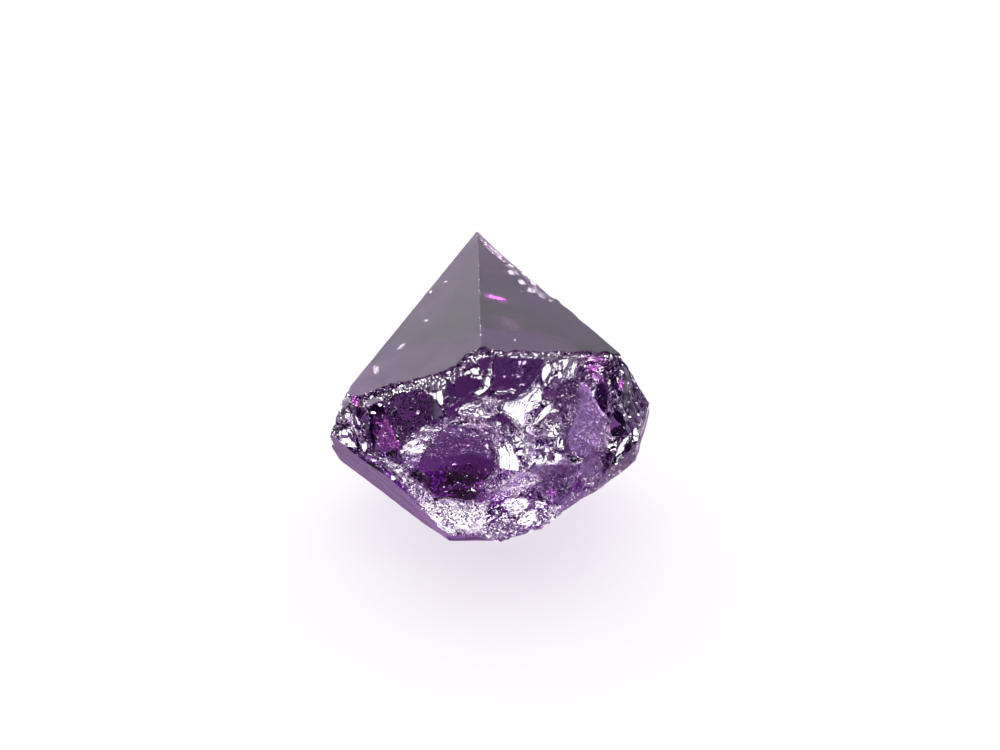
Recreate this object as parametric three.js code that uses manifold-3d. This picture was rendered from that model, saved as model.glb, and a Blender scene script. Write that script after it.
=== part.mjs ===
// Rough amethyst: one quartz crystal tip, broken off its cluster.
// Millimetres, +Z up. The stone lies on a broken facet at z = 0 with its c axis leaning back.
// +X is to the right, -Y is the broken front, +Y is where the crystal tip points.
import * as THREE from 'three';
import { ConvexGeometry } from 'three/addons/geometries/ConvexGeometry.js';
import { mergeVertices } from 'three/addons/utils/BufferGeometryUtils.js';
import Module from 'manifold-3d';

// ---------------------------------------------------------------- driving dimensions
// Planes as [unit-ish outward normal, distance in mm], in the stone's own axes, whose origin is
// the foremost point of the resting facet.
const TOP_LEFT = [[-0.492, 0.05, 0.869], 13.17];     // rhombohedral face r
const TOP_RIGHT = [[0.289, 0.072, 0.955], 13.58];    // rhombohedral face z
const SIDE_RIGHT = [[0.725, 0.506, 0.467], 11.32];   // r
const SIDE_LEFT = [[-0.836, 0.462, 0.295], 10.49];   // z
const BACK_RIGHT = [[0.381, 0.918, -0.107], 8.6];    // z
const BACK_LEFT = [[-0.4, 0.896, -0.193], 8.2];      // r
const UNDER_RIGHT = [[0.681, 0.157, -0.716], 2.72];  // facet under the right side
const UNDER_LEFT = [[-0.375, 0.286, -0.882], 2.12];  // facet under the left side
const PARTING = [[-0.606, -0.564, -0.568], 1.8];      // smooth parting facet, lower left
const BREAK_UNDER = [[0.55, -0.25, -0.797], -0.1];   // break under the right end
const BREAK_LEFT = [[-0.953, 0.162, 0.256], 11.1];   // break at the left end
const BREAK_RIGHT = [[0.941, -0.153, 0.304], 9.94];  // break at the right end, upper
const BREAK_LOW = [[0.974, -0.19, -0.119], 6.84];    // break at the right end, lower
const REST = [[0, 0, -1], 0];                        // flat facet that the stone rests on

const BREAK_TILT = 35.31;      // degrees that the broken front faces upwards
const CELL = 0.36;             // facet size of the broken front
const BREAK_A = [-10.9, 9.7];  // extent of the break across
const BREAK_B = [-1.2, 12.2];  // extent of the break up its slope
const WALL = { h: 4.41, slope: 0.708, side: 0.85, sideA: -5.2 };   // upright outer wall of the break
const UNDERCUT = { slope: 3.048, bow: 0.191 };                      // how the wall draws in to its foot

// edge where the two top faces end, across (a) and up the slope (b)
const RIM = [[-12, 8.45], [-8.85, 8.45], [-7.76, 8.45], [-6.21, 9.02], [-4.25, 9.43], [-2.47, 10.0],
  [-1.9, 10.69], [-1.09, 11.09], [0, 10.92], [2.3, 10.86], [5.17, 10.86], [6.61, 10.8], [7.0, 10.57], [11, 9.4]];
// length of the steep step below that edge, along it
const STEP = [[-12, 0.6], [-8.2, 0.9], [-7.4, 2.2], [-5.4, 2.6], [-3.7, 2.2], [-3.2, 1.3], [-2.6, 1.8],
  [-1.3, 1.7], [-0.8, 0.9], [-0.3, 2.2], [2.2, 2.3], [2.9, 1.1], [3.6, 1.5], [4.9, 1.7], [5.4, 3.1], [6.2, 2.8], [6.9, 1.4], [11, 0.8]];
const STEP_LEAN = 0.12;        // rise of the step's face towards its foot
const LEDGE = 2.4;             // rise of the ledge in front of the step
// general rise of the break from the rim towards the wall, along the rim
const SLOPE = [[-12, 1.3], [-8.6, 1.25], [-6, 0.8], [-3, 0.55], [2, 0.5], [5, 0.62], [11, 0.7]];
// conchoidal scoops: centre a, b, height h, radii of curvature along and across, turn in degrees
const SCOOPS = [
  { a: -2.47, b: 4.4, h: 6.3, ra: 2.0, rb: 1.9, turn: 0 },
  { a: -6.55, b: 6.3, h: 7.3, ra: 0.5, rb: 2.2, turn: 18 },
  { a: 5.17, b: 6.5, h: 7.6, ra: 0.8, rb: 3.6, turn: -6 },
  { a: 3.05, b: 3.6, h: 5.7, ra: 1.5, rb: 1.1, turn: 15 },
  { a: 5.3, b: 3.75, h: 4.9, ra: 0.7, rb: 0.9, turn: 0 },
  { a: 7.0, b: 6.6, h: 6.6, ra: 1.2, rb: 3.0, turn: 20 },
  { a: 1.9, b: 6.4, h: 8.2, ra: 1.3, rb: 2.6, turn: 10 },
  { a: 0.1, b: 2.0, h: 4.7, ra: 1.6, rb: 0.9, turn: 0 },
  { a: -8.5, b: 6.6, h: 6.9, ra: 0.8, rb: 3.2, turn: 22 },
];
// chips on the edge between the right top face and the right side face: position along the edge
// from the tip (0 to 1), radii along, across and deep in mm, and how deep they bite
const EDGE_TIP = [-1.3, 11.57, 13.74];
const EDGE_END = [6.9, 1.37, 12.04];
const CHIPS = [
  { t: 0.2, r: [3.4, 1.5, 1.2], bite: 0.34 },
  { t: 0.44, r: [1.5, 1.2, 1.1], bite: 0.42 },
];

// ---------------------------------------------------------------- solid geometry
const wasm = await Module();
wasm.setup();

function solid(geometry) {
  const g = geometry.clone();
  g.deleteAttribute('normal');
  g.deleteAttribute('uv');
  const m = mergeVertices(g, 1e-5);
  return new wasm.Manifold(new wasm.Mesh({
    numProp: 3,
    vertProperties: new Float32Array(m.attributes.position.array),
    triVerts: new Uint32Array(m.index.array),
  }));
}

// convex body bounded by planes
function bounded(planes) {
  const ps = planes.map(([n, d]) => {
    const v = new THREE.Vector3(...n);
    const l = v.length();
    return new THREE.Plane(v.divideScalar(l), -d / l);
  });
  const corners = [];
  for (let i = 0; i < ps.length; i++)
    for (let j = i + 1; j < ps.length; j++)
      for (let k = j + 1; k < ps.length; k++) {
        const det = new THREE.Matrix3().set(
          ...ps[i].normal.toArray(), ...ps[j].normal.toArray(), ...ps[k].normal.toArray());
        if (Math.abs(det.determinant()) < 1e-6) continue;
        const p = new THREE.Vector3(-ps[i].constant, -ps[j].constant, -ps[k].constant)
          .applyMatrix3(det.invert());
        if (ps.every((q) => q.distanceToPoint(p) < 1e-7)
          && !corners.some((c) => c.distanceTo(p) < 1e-4)) corners.push(p);
      }
  return new ConvexGeometry(corners);
}

function along(table, x) {
  for (let i = 1; i < table.length; i++)
    if (x <= table[i][0]) {
      const [x0, y0] = table[i - 1], [x1, y1] = table[i];
      return y0 + (y1 - y0) * (x - x0) / (x1 - x0);
    }
  return table[table.length - 1][1];
}

// the break's own axes: a across, b up its slope, h out of it
const tilt = THREE.MathUtils.degToRad(BREAK_TILT);
const S = Math.sin(tilt), C = Math.cos(tilt);
const toBreak = new THREE.Matrix4().makeBasis(
  new THREE.Vector3(1, 0, 0), new THREE.Vector3(0, S, C), new THREE.Vector3(0, -C, S));

// height of a plane over the break at a, b
function planeHeight([n, d], a, b) {
  return (d - n[0] * a - b * (n[1] * S + n[2] * C)) / (n[2] * S - n[1] * C);
}

function oldTop(a, b) {
  return Math.min(planeHeight(TOP_LEFT, a, b), planeHeight(TOP_RIGHT, a, b));
}

// height of the broken front at a, b
function breakHeight(a, b) {
  const edge = along(RIM, a), down = edge - b;
  if (down <= 0) return oldTop(a, b) + 0.6 - 2.5 * Math.max(down, -1);
  const wall = WALL.h + WALL.slope * b + WALL.side * THREE.MathUtils.smoothstep(WALL.sideA - a, 0, 2.5);
  const foot = UNDERCUT.slope * b - UNDERCUT.bow * Math.max(0, a) ** 2;
  const rim = oldTop(a, edge);
  const step = rim + STEP_LEAN * down + LEDGE * Math.max(0, down - along(STEP, a));
  let h = Math.min(wall, foot, step, rim + 0.25 + along(SLOPE, a) * down);
  for (const s of SCOOPS) {
    const t = THREE.MathUtils.degToRad(s.turn), da = a - s.a, db = b - s.b;
    const u = da * Math.cos(t) + db * Math.sin(t), v = -da * Math.sin(t) + db * Math.cos(t);
    h = Math.min(h, s.h + u * u / (2 * s.ra) + v * v / (2 * s.rb) + WALL.slope * db);
  }
  return h;
}

// everything behind the broken front
function behindBreak() {
  const w = BREAK_A[1] - BREAK_A[0], t = BREAK_B[1] - BREAK_B[0];
  const g = new THREE.BoxGeometry(w, t, 2, Math.round(w / CELL), Math.round(t / CELL), 1);
  g.translate((BREAK_A[0] + BREAK_A[1]) / 2, (BREAK_B[0] + BREAK_B[1]) / 2, 0);
  const p = g.attributes.position;
  for (let i = 0; i < p.count; i++)
    p.setZ(i, p.getZ(i) > 0 ? breakHeight(p.getX(i), p.getY(i)) : -20);
  return g.applyMatrix4(toBreak);
}

const facets = [TOP_LEFT, TOP_RIGHT, SIDE_RIGHT, SIDE_LEFT, BACK_RIGHT, BACK_LEFT, UNDER_RIGHT,
  UNDER_LEFT, PARTING, BREAK_UNDER, BREAK_LEFT, BREAK_RIGHT, BREAK_LOW, REST];
const whole = solid(bounded(facets));

// the part of the crystal above the break's upper edge keeps its faces, so the cutting body is
// joined with a block that covers the tip
const tipCover = new THREE.BoxGeometry(40, 40, 60);
tipCover.translate(0, BREAK_B[1] - 0.05 + 20, 0);
tipCover.applyMatrix4(toBreak);
let stone = whole.intersect(solid(behindBreak()).add(solid(tipCover)));

// chips along the edge
const tip = new THREE.Vector3(...EDGE_TIP), end = new THREE.Vector3(...EDGE_END);
const run = end.clone().sub(tip).normalize();
const out = new THREE.Vector3(...TOP_RIGHT[0]).add(new THREE.Vector3(...SIDE_RIGHT[0])).normalize();
const side = new THREE.Vector3().crossVectors(out, run);
for (const c of CHIPS) {
  const g = new THREE.SphereGeometry(1, 20, 14);
  g.scale(...c.r);
  g.applyMatrix4(new THREE.Matrix4().makeBasis(run, side, out));
  const at = tip.clone().lerp(end, c.t).addScaledVector(out, c.r[2] - c.bite);
  g.translate(at.x, at.y, at.z);
  stone = stone.subtract(solid(g));
}

const cut = stone.getMesh();
const body = new THREE.BufferGeometry();
body.setAttribute('position', new THREE.BufferAttribute(new Float32Array(cut.vertProperties), 3));
body.setIndex(new THREE.BufferAttribute(new Uint32Array(cut.triVerts), 1));

// origin: the middle of the stone's box, on the surface that it rests on
body.computeBoundingBox();
const box = body.boundingBox;
body.translate(-(box.min.x + box.max.x) / 2, -(box.min.y + box.max.y) / 2, -box.min.z);
body.computeVertexNormals();

const amethyst = new THREE.MeshStandardMaterial({ color: 0x5b3378, roughness: 0.12, metalness: 0 });
const crystal = new THREE.Mesh(body, amethyst);
crystal.name = 'amethyst_crystal';

const stoneGroup = new THREE.Group();
stoneGroup.add(crystal);

export default stoneGroup;
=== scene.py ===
import math
import bpy
import numpy as np
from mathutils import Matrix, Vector
from mathutils.bvhtree import BVHTree


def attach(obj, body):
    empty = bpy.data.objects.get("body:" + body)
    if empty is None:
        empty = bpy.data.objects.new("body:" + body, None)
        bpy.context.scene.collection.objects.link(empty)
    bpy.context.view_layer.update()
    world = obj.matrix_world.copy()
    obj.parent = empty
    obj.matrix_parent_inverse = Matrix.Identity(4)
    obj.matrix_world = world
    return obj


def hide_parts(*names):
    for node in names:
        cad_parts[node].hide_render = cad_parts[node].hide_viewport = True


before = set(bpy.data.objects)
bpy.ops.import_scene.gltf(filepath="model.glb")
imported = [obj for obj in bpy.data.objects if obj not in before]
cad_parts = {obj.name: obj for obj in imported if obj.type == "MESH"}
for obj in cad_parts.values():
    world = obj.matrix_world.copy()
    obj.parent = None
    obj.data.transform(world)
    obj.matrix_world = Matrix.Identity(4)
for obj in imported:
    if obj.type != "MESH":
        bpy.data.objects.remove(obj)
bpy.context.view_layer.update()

# ------------------------------------------------------------------ the stone's planes and sizes
# Millimetres in the stone's own axes (x to the right, y back, z up, from the foremost point of the
# resting facet). SHIFT takes them to the part's frame.
SHIFT = np.array([0.568230, -3.876418, 0.0])
TOP_LEFT = ((-0.492, 0.05, 0.869), 13.17)
TOP_RIGHT = ((0.289, 0.072, 0.955), 13.58)
SIDE_RIGHT = ((0.725, 0.506, 0.467), 11.32)
SIDE_LEFT = ((-0.836, 0.462, 0.295), 10.49)
BACK_RIGHT = ((0.381, 0.918, -0.107), 8.6)
BACK_LEFT = ((-0.4, 0.896, -0.193), 8.2)
UNDER_RIGHT = ((0.681, 0.157, -0.716), 2.72)
UNDER_LEFT = ((-0.375, 0.286, -0.882), 2.12)
PARTING = ((-0.606, -0.564, -0.568), 1.8)
BREAK_UNDER = ((0.55, -0.25, -0.797), -0.1)
BREAK_LEFT = ((-0.953, 0.162, 0.256), 11.1)
BREAK_RIGHT = ((0.941, -0.153, 0.304), 9.94)
BREAK_LOW = ((0.974, -0.19, -0.119), 6.84)
REST = ((0.0, 0.0, -1.0), 0.0)
NATURAL = [TOP_LEFT, TOP_RIGHT, SIDE_RIGHT, SIDE_LEFT, BACK_RIGHT, BACK_LEFT]
SMOOTH = [UNDER_RIGHT, UNDER_LEFT, PARTING, REST]
BROKEN = [BREAK_UNDER, BREAK_LEFT, BREAK_RIGHT, BREAK_LOW]

TILT = math.radians(35.31)
S, C = math.sin(TILT), math.cos(TILT)
AX = np.array([1.0, 0.0, 0.0])
UP = np.array([0.0, S, C])
OUT = np.array([0.0, -C, S])

# the front view's perspective, in which the places on the break are written
EYE = 271.7
REACH = 271.897
EYE_B = 9.5
GRID = 0.05
A0, A1, B0, B1 = -10.6, 9.4, -1.2, 12.3

RIM = [(-12, 8.45), (-8.85, 8.45), (-7.76, 8.45), (-6.21, 9.02), (-4.25, 9.43), (-2.47, 10.0), (-1.9, 10.69),
       (-1.09, 11.09), (0, 10.92), (2.3, 10.86), (5.17, 10.86), (6.61, 10.8), (7.0, 10.57), (11, 9.4)]
STEP = [(-12, .6), (-8.2, .9), (-7.4, 2.2), (-5.4, 2.6), (-3.7, 2.2), (-3.2, 1.3), (-2.6, 1.8), (-1.3, 1.7), (-.8, .9),
        (-.3, 2.2), (2.2, 2.3), (2.9, 1.1), (3.6, 1.5), (4.9, 1.7), (5.4, 3.1), (6.2, 2.8), (6.9, 1.4), (11, .8)]
SLOPE = [(-12, 1.3), (-8.6, 1.25), (-6, .8), (-3, .55), (2, .5), (5, .62), (11, .7)]
SCOOPS = [(-2.47, 4.4, 6.3, 2.0, 1.9, 0), (-6.55, 6.3, 7.3, .5, 2.2, 18), (5.17, 6.5, 7.6, .8, 3.6, -6),
          (3.05, 3.6, 5.7, 1.5, 1.1, 15), (5.3, 3.75, 4.9, .7, .9, 0), (7.0, 6.6, 6.6, 1.2, 3.0, 20),
          (1.9, 6.4, 8.2, 1.3, 2.6, 10), (.1, 2.0, 4.7, 1.6, .9, 0), (-8.5, 6.6, 6.9, .8, 3.2, 22)]

rng = np.random.RandomState(7)


# ------------------------------------------------------------------ number helpers
def table(t, x):
    t = np.array(t, float)
    return np.interp(x, t[:, 0], t[:, 1])


def smooth(e0, e1, x):
    t = np.clip((x - e0) / (e1 - e0), 0, 1)
    return t * t * (3 - 2 * t)


def smin(p, q, k):
    h = np.clip(0.5 + 0.5 * (q - p) / k, 0, 1)
    return q * (1 - h) + p * h - k * h * (1 - h)


def hash2(i, j, seed):
    n = (i.astype(np.int64) * 374761393 + j.astype(np.int64) * 668265263 + seed * 2147483647) & 0xFFFFFFFF
    n = ((n ^ (n >> 13)) * 1274126177) & 0xFFFFFFFF
    n = ((n ^ (n >> 16)) * 2246822519) & 0xFFFFFFFF
    return ((n ^ (n >> 15)) & 0xFFFFFF) / float(0xFFFFFF)


def noise(x, y, seed=0):
    """Smooth value noise, -1 to 1."""
    i, j = np.floor(x), np.floor(y)
    fx, fy = x - i, y - j
    fx, fy = fx * fx * fx * (fx * (fx * 6 - 15) + 10), fy * fy * fy * (fy * (fy * 6 - 15) + 10)
    v00, v10 = hash2(i, j, seed), hash2(i + 1, j, seed)
    v01, v11 = hash2(i, j + 1, seed), hash2(i + 1, j + 1, seed)
    return 2 * ((v00 * (1 - fx) + v10 * fx) * (1 - fy) + (v01 * (1 - fx) + v11 * fx) * fy) - 1


def fbm(x, y, seed=0, octaves=3):
    out, amp = 0, 1.0
    for k in range(octaves):
        out = out + amp * noise(x * 2 ** k, y * 2 ** k, seed + 17 * k)
        amp *= 0.5
    return out


def shards(x, y, seed, tilt, drop=0.0, jitter=1.0):
    """Small flat facets: each cell of a Worley pattern is its own tilted plane. x and y are in cells."""
    best = np.full(x.shape, 1e9)
    hgt = np.zeros(x.shape)
    ci, cj = np.floor(x), np.floor(y)
    for di in (-1, 0, 1):
        for dj in (-1, 0, 1):
            i, j = ci + di, cj + dj
            px = i + 0.5 + jitter * (hash2(i, j, seed) - 0.5)
            py = j + 0.5 + jitter * (hash2(i, j, seed + 1) - 0.5)
            d = (x - px) ** 2 + (y - py) ** 2
            ta = 2 * math.pi * hash2(i, j, seed + 2)
            tm = tilt * (0.35 + 0.65 * hash2(i, j, seed + 3))
            h = tm * (np.cos(ta) * (x - px) + np.sin(ta) * (y - py)) + drop * (hash2(i, j, seed + 4) - 0.5)
            m = d < best
            best = np.where(m, d, best)
            hgt = np.where(m, h, hgt)
    return hgt


def ridge(p, sharp=0.3):
    """A periodic wave with one steep and one gentle flank, -1 to 1, period 1."""
    t = p - np.floor(p)
    return np.where(t < sharp, -1 + 2 * t / sharp, 1 - 2 * (t - sharp) / (1 - sharp))


# ------------------------------------------------------------------ the break's coarse shape
def plane_height(p, a, b):
    n, d = p
    return (d - n[0] * a - b * (n[1] * S + n[2] * C)) / (n[2] * S - n[1] * C)


def old_top(a, b):
    return np.minimum(plane_height(TOP_LEFT, a, b), plane_height(TOP_RIGHT, a, b))


def coarse(a, b, edge):
    down = edge - b
    wall = 4.41 + .708 * b + .85 * smooth(0, 2.5, -5.2 - a)
    foot = 3.048 * b - .191 * np.maximum(0, a) ** 2
    rim = old_top(a, edge)
    step = rim + .12 * down + 2.4 * np.maximum(0, down - table(STEP, a))
    h = smin(wall, foot, .25)
    h = smin(h, step, .12)
    h = smin(h, rim + .25 + table(SLOPE, a) * down, .1)
    for ca, cb, ch, ra, rb, turn in SCOOPS:
        t = math.radians(turn)
        da, db = a - ca, b - cb
        u, v = da * math.cos(t) + db * math.sin(t), -da * math.sin(t) + db * math.cos(t)
        h = smin(h, ch + u * u / (2 * ra) + v * v / (2 * rb) + .708 * db, .05)
    return h


na, nb = int(round((A1 - A0) / GRID)) + 1, int(round((B1 - B0) / GRID)) + 1
ga, gb = np.linspace(A0, A1, na), np.append(np.linspace(B0, B1, nb), 19.5)
A, B = np.meshgrid(ga, gb, indexing="ij")
edge_line = table(RIM, A) + .05 * fbm(A * 2.2, 0 * A, 3) + .035 * noise(A * 9, 0 * A, 4)
H0 = coarse(A, B, edge_line)
down = edge_line - B
H = H0.copy()
# places on the break, as they are seen from the front: across u, up v, in millimetres
U = REACH * A / (EYE - H0)
V = 9.540 + REACH * (B - EYE_B) / (EYE - H0)
FROST = np.zeros_like(H)     # how crushed and whitish the surface is, 0 to 1


# ------------------------------------------------------------------ facets and scoops on the break
def polygon(points):
    """Signed distance to a polygon on the whole grid, positive inside."""
    p = np.array(points, float)
    pad = 0.4
    box = (U > p[:, 0].min() - pad) & (U < p[:, 0].max() + pad) & (V > p[:, 1].min() - pad) & (V < p[:, 1].max() + pad)
    x, y = U[box], V[box]
    dist = np.full(x.shape, 1e9)
    inside = np.zeros(x.shape, bool)
    for k in range(len(p)):
        (x0, y0), (x1, y1) = p[k - 1], p[k]
        dx, dy = x1 - x0, y1 - y0
        t = np.clip(((x - x0) * dx + (y - y0) * dy) / (dx * dx + dy * dy + 1e-12), 0, 1)
        dist = np.minimum(dist, (x - x0 - t * dx) ** 2 + (y - y0 - t * dy) ** 2)
        hit = ((y0 > y) != (y1 > y))
        with np.errstate(divide="ignore", invalid="ignore"):
            cross = x < dx * (y - y0) / (dy if dy else 1e-12) + x0
        inside ^= hit & cross
    d = np.where(inside, np.sqrt(dist), -np.sqrt(dist))
    out = np.full(U.shape, -1.0)
    out[box] = d
    return out


def facet(points, sa=0.0, sb=0.0, drop=0.0, bend=(0.0, 0.0), waves=(), wobble=0.0, soft=0.035, frost=None, grit=0.0,
          seed=0, round_to=0.0):
    """Replaces the break inside a polygon by its own surface. sa and sb are the rise to the right and upwards,
    bend the curvature along each, waves is ((centre u, centre v), spacing, height, sharp)."""
    global H, FROST
    d = polygon(points)
    d = d + wobble * fbm(U * 5, V * 5, seed + 50, 2)
    m = smooth(-soft, soft, d)
    core = d > 0.02
    if core.sum() < 4:
        core = d > -0.05
    cu, cv = U[core].mean(), V[core].mean()
    x, y = U - cu, V - cv
    surf = H[core].mean() + drop + sa * x + sb * y + .5 * bend[0] * x * x + .5 * bend[1] * y * y
    for (wu, wv), gap, high, sharp in waves:
        r = np.hypot(U - wu, V - wv) + .12 * gap * fbm(U * 3, V * 3, seed + 9, 2)
        surf = surf + high * ridge(r / gap, sharp)
    if grit:
        surf = surf + grit * shards(U / .16, V / .16, seed + 5, .5) * .16
    if round_to:
        surf = surf - round_to * smooth(.12, 0, d)
    H = H * (1 - m) + surf * m
    if frost is not None:
        FROST = FROST * (1 - m) + frost * m


def ripples(points, centre, gap, high, sharp=.3, soft=.25, seed=0, lean=(0, 0)):
    """Adds shell-like ripples round a centre to what is there, fading out at the polygon's edge."""
    global H
    d = polygon(points)
    m = smooth(-soft * .2, soft, d)
    r = np.hypot(U - centre[0], V - centre[1])
    ang = np.arctan2(V - centre[1], U - centre[0])
    r = r + gap * (.55 * fbm(U * 1.6, V * 1.6, seed, 2) + .25 * fbm(U * 6, V * 6, seed + 3, 2))
    amp = high * (.55 + .45 * fbm(ang * 4, r * .8, seed + 5, 2))
    H = H + m * (amp * ridge(r / gap, sharp) + lean[0] * (U - centre[0]) + lean[1] * (V - centre[1]))


def crumble(points, cell, tilt, soft=.15, seed=0, frost=None, drop=0.0, base=0.0):
    """Turns an area into small tilted shards."""
    global H, FROST
    d = polygon(points)
    m = smooth(-soft, soft, d)
    s = shards(U / cell + .3 * fbm(U * 4, V * 4, seed + 7, 1), V / cell, seed, tilt, drop) * cell
    s = s + .5 * shards(U / cell * 2.3, V / cell * 2.3, seed + 31, tilt, drop) * cell / 2.3
    H = H + m * (s - base)
    if frost is not None:
        FROST = FROST * (1 - m) + frost * m


def lay(points, sa, sb, gap, seed=0, warp=.35, vary=.08, soft=.03, frost=None, drop=0.0, wobble=.02, swing=0.0):
    """Fills a polygon with thin terraces that all lean the same way, so that together they catch the light as one
    patch with fine lines across it. sa and sb are the terraces' own rise to the right and upwards."""
    global H, FROST
    d = polygon(points)
    d = d + wobble * fbm(U * 6, V * 6, seed + 50, 2)
    core = d > 0.0
    cu, cv = U[core].mean(), V[core].mean()
    x, y = U - cu, V - cv
    fit = np.stack([np.ones(core.sum()), x[core], y[core]], 1)
    c0, g0, g1 = np.linalg.lstsq(fit, H[core], rcond=None)[0]
    dx, dy = sa - g0, sb - g1
    mag = math.hypot(dx, dy) + 1e-6
    ex, ey = dx / mag, dy / mag
    t = (ex * x + ey * y) / gap + warp * fbm(U * .9 / gap * .35, V * .9 / gap * .35, seed, 2)
    t = t + swing * (-ey * x + ex * y) ** 2
    k = np.floor(t)
    one = 1 + vary * (2 * hash2(k, 0 * k, seed + 3) - 1) / mag
    surf = c0 + drop + g0 * x + g1 * y + (t - k - .5) * gap * mag * one
    surf = surf + (hash2(k, 0 * k, seed + 4) - .5) * .15 * gap
    m = smooth(-soft, soft, d)
    H = H * (1 - m) + surf * m
    if frost is not None:
        FROST = FROST * (1 - m) + frost * m


def strokes(points, angle, gap, high, seed=0, sharp=.35, soft=.12, lean=(0.0, 0.0), frost=None, round_=None):
    """Long uneven hackle lines running at an angle (degrees, 0 to the right, 90 up), or round a centre."""
    global H, FROST
    d = polygon(points)
    m = smooth(-soft * .3, soft, d)
    t = math.radians(angle)
    along_, across = U * math.cos(t) + V * math.sin(t), -U * math.sin(t) + V * math.cos(t)
    if round_:
        across = np.hypot(U - round_[0], V - round_[1])
        along_ = 2.6 * np.arctan2(V - round_[1], U - round_[0])
    w = across / gap + .9 * fbm(along_ * .7, across * 1.6, seed, 2) + .25 * fbm(along_ * 4, across * 6, seed + 3, 1)
    amp = high * (.45 + .55 * np.clip(.5 + fbm(along_ * 1.6, across * 3, seed + 5, 2), 0, 1.5))
    cu, cv = U[d > -.05].mean(), V[d > -.05].mean()
    H = H + m * (amp * ridge(w, sharp) + lean[0] * (U - cu) + lean[1] * (V - cv))
    if frost is not None:
        FROST = FROST * (1 - m) + frost * m


def seam(points, width, high, seed=0, frost=None):
    """A raised uneven line, such as the crushed lip between two scoops."""
    global H, FROST
    p = np.array(points, float)
    dist = np.full(U.shape, 1e9)
    for (x0, y0), (x1, y1) in zip(p[:-1], p[1:]):
        dx, dy = x1 - x0, y1 - y0
        t = np.clip(((U - x0) * dx + (V - y0) * dy) / (dx * dx + dy * dy), 0, 1)
        dist = np.minimum(dist, np.hypot(U - x0 - t * dx, V - y0 - t * dy))
    w = width * (1 + .45 * fbm(U * 3, V * 3, seed, 2))
    m = 1 - smooth(.35, 1.0, dist / np.maximum(w, .02))
    H = H + m * (high + .8 * high * shards(U / .13, V / .13, seed + 2, 1.0))
    if frost is not None:
        FROST = np.maximum(FROST, frost * m)


def white(points, angle, gap=.7, sb=-.4, lines=.19, high=.015, seed=0, sa=0.0, drop=.04, round_=None, swing=0.0):
    """A patch that turns to the light as a few even terraces, with fine lines across it."""
    lay(points, sa, sb, gap, seed, .18, .04, .03, None, drop, .03, swing)
    strokes(points, angle, lines, high, seed + 7, .72, .03, round_=round_)


def blurred(h, sigma):
    """The height field smoothed over sigma millimetres."""
    pad = int(4 * sigma / GRID)
    q = np.pad(h[:, :nb], pad, mode="edge")
    fx, fy = np.fft.fftfreq(q.shape[0], GRID), np.fft.rfftfreq(q.shape[1], GRID)
    g = np.exp(-2 * (math.pi * sigma) ** 2 * (fx[:, None] ** 2 + fy[None, :] ** 2))
    return np.fft.irfft2(np.fft.rfft2(q) * g, q.shape)[pad:-pad, pad:-pad]


def hackle(points, length, width, angle=0.0, centre=None, sa=0.0, sb=-.5, vary=.22, dark=.3, seed=0, soft=.06,
           wobble=.03, drop=0.0, base=0.0, fade=0.0, fine=.11):
    """Covers an area with long thin flakes, most of which lean the same way (sa to the right, sb upwards) and catch
    the light, with a share of dark ones between. They run at an angle, or round a centre."""
    global H
    d = polygon(points)
    d = d + wobble * fbm(U * 5, V * 5, seed + 50, 2)
    m = smooth(-soft, soft, d)[:, :nb]
    u, v = U[:, :nb], V[:, :nb]
    if base:
        low = blurred(H, base)
        gx, gy = np.gradient(low, GRID)
    else:
        core = d[:, :nb] > 0
        fit = np.stack([np.ones(core.sum()), u[core], v[core]], 1)
        c0, gx, gy = np.linalg.lstsq(fit, H[:, :nb][core], rcond=None)[0]
        low = c0 + gx * u + gy * v
    if centre is None:
        t = math.radians(angle)
        along_, across = u * math.cos(t) + v * math.sin(t), -u * math.sin(t) + v * math.cos(t)
        c, sn = math.cos(t), math.sin(t)
    else:
        r = np.hypot(u - centre[0], v - centre[1])
        ang = np.arctan2(v - centre[1], u - centre[0])
        mid = np.average(r, weights=m + 1e-9)
        along_, across = ang * mid, r
        c, sn = -np.sin(ang), np.cos(ang)
    line, lw = across / width + .8 * fbm(u * 1.3, v * 1.3, seed + 2, 2) + .2 * noise(u * 6, v * 6, seed + 9), width
    length, width = length * .7, width * 2.6
    x = along_ / length + .35 * fbm(u * 1.1, v * 1.1, seed + 1, 2)
    y = across / width + .3 * fbm(u * 1.3, v * 1.3, seed + 2, 2)
    best = np.full(x.shape, 1e9)
    out = [np.zeros(x.shape) for _ in range(6)]
    ci, cj = np.floor(x), np.floor(y)
    for di in (-1, 0, 1):
        for dj in (-1, 0, 1):
            i, j = ci + di, cj + dj
            px = i + .5 + .9 * (hash2(i, j, seed + 3) - .5)
            py = j + .5 + .7 * (hash2(i, j, seed + 4) - .5)
            q = (x - px) ** 2 + (y - py) ** 2
            k = q < best
            best = np.where(k, q, best)
            for slot, val in enumerate((x - px, y - py, hash2(i, j, seed + 5), hash2(i, j, seed + 6),
                                        hash2(i, j, seed + 7), hash2(i, j, seed + 8))):
                out[slot] = np.where(k, val, out[slot])
    la, lc = out[0] * length, out[1] * width
    if centre is None:
        du, dv = la * c - lc * sn, la * sn + lc * c
    else:
        du, dv = la * c + lc * np.cos(ang), la * sn + lc * np.sin(ang)
    is_dark = out[4] < dark
    su = np.where(is_dark, 1.6 * (out[2] - .5), sa + vary * 2 * (out[2] - .5))
    sv = np.where(is_dark, .25 + .9 * out[3], sb + vary * 2 * (out[3] - .5))
    if fade:
        m = m * np.clip(1 - fade * out[5], 0, 1)
    new = low + (su - gx) * du + (sv - gy) * dv + drop + .03 * width * (out[5] - .5)
    amp = fine * lw * np.clip(.3 + .9 * fbm(along_ * .9, across * 2.2, seed + 12, 2), 0, 1.2)
    new = new + amp * ridge(line, .84)
    H[:, :nb] = H[:, :nb] * (1 - m) + new * m


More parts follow.
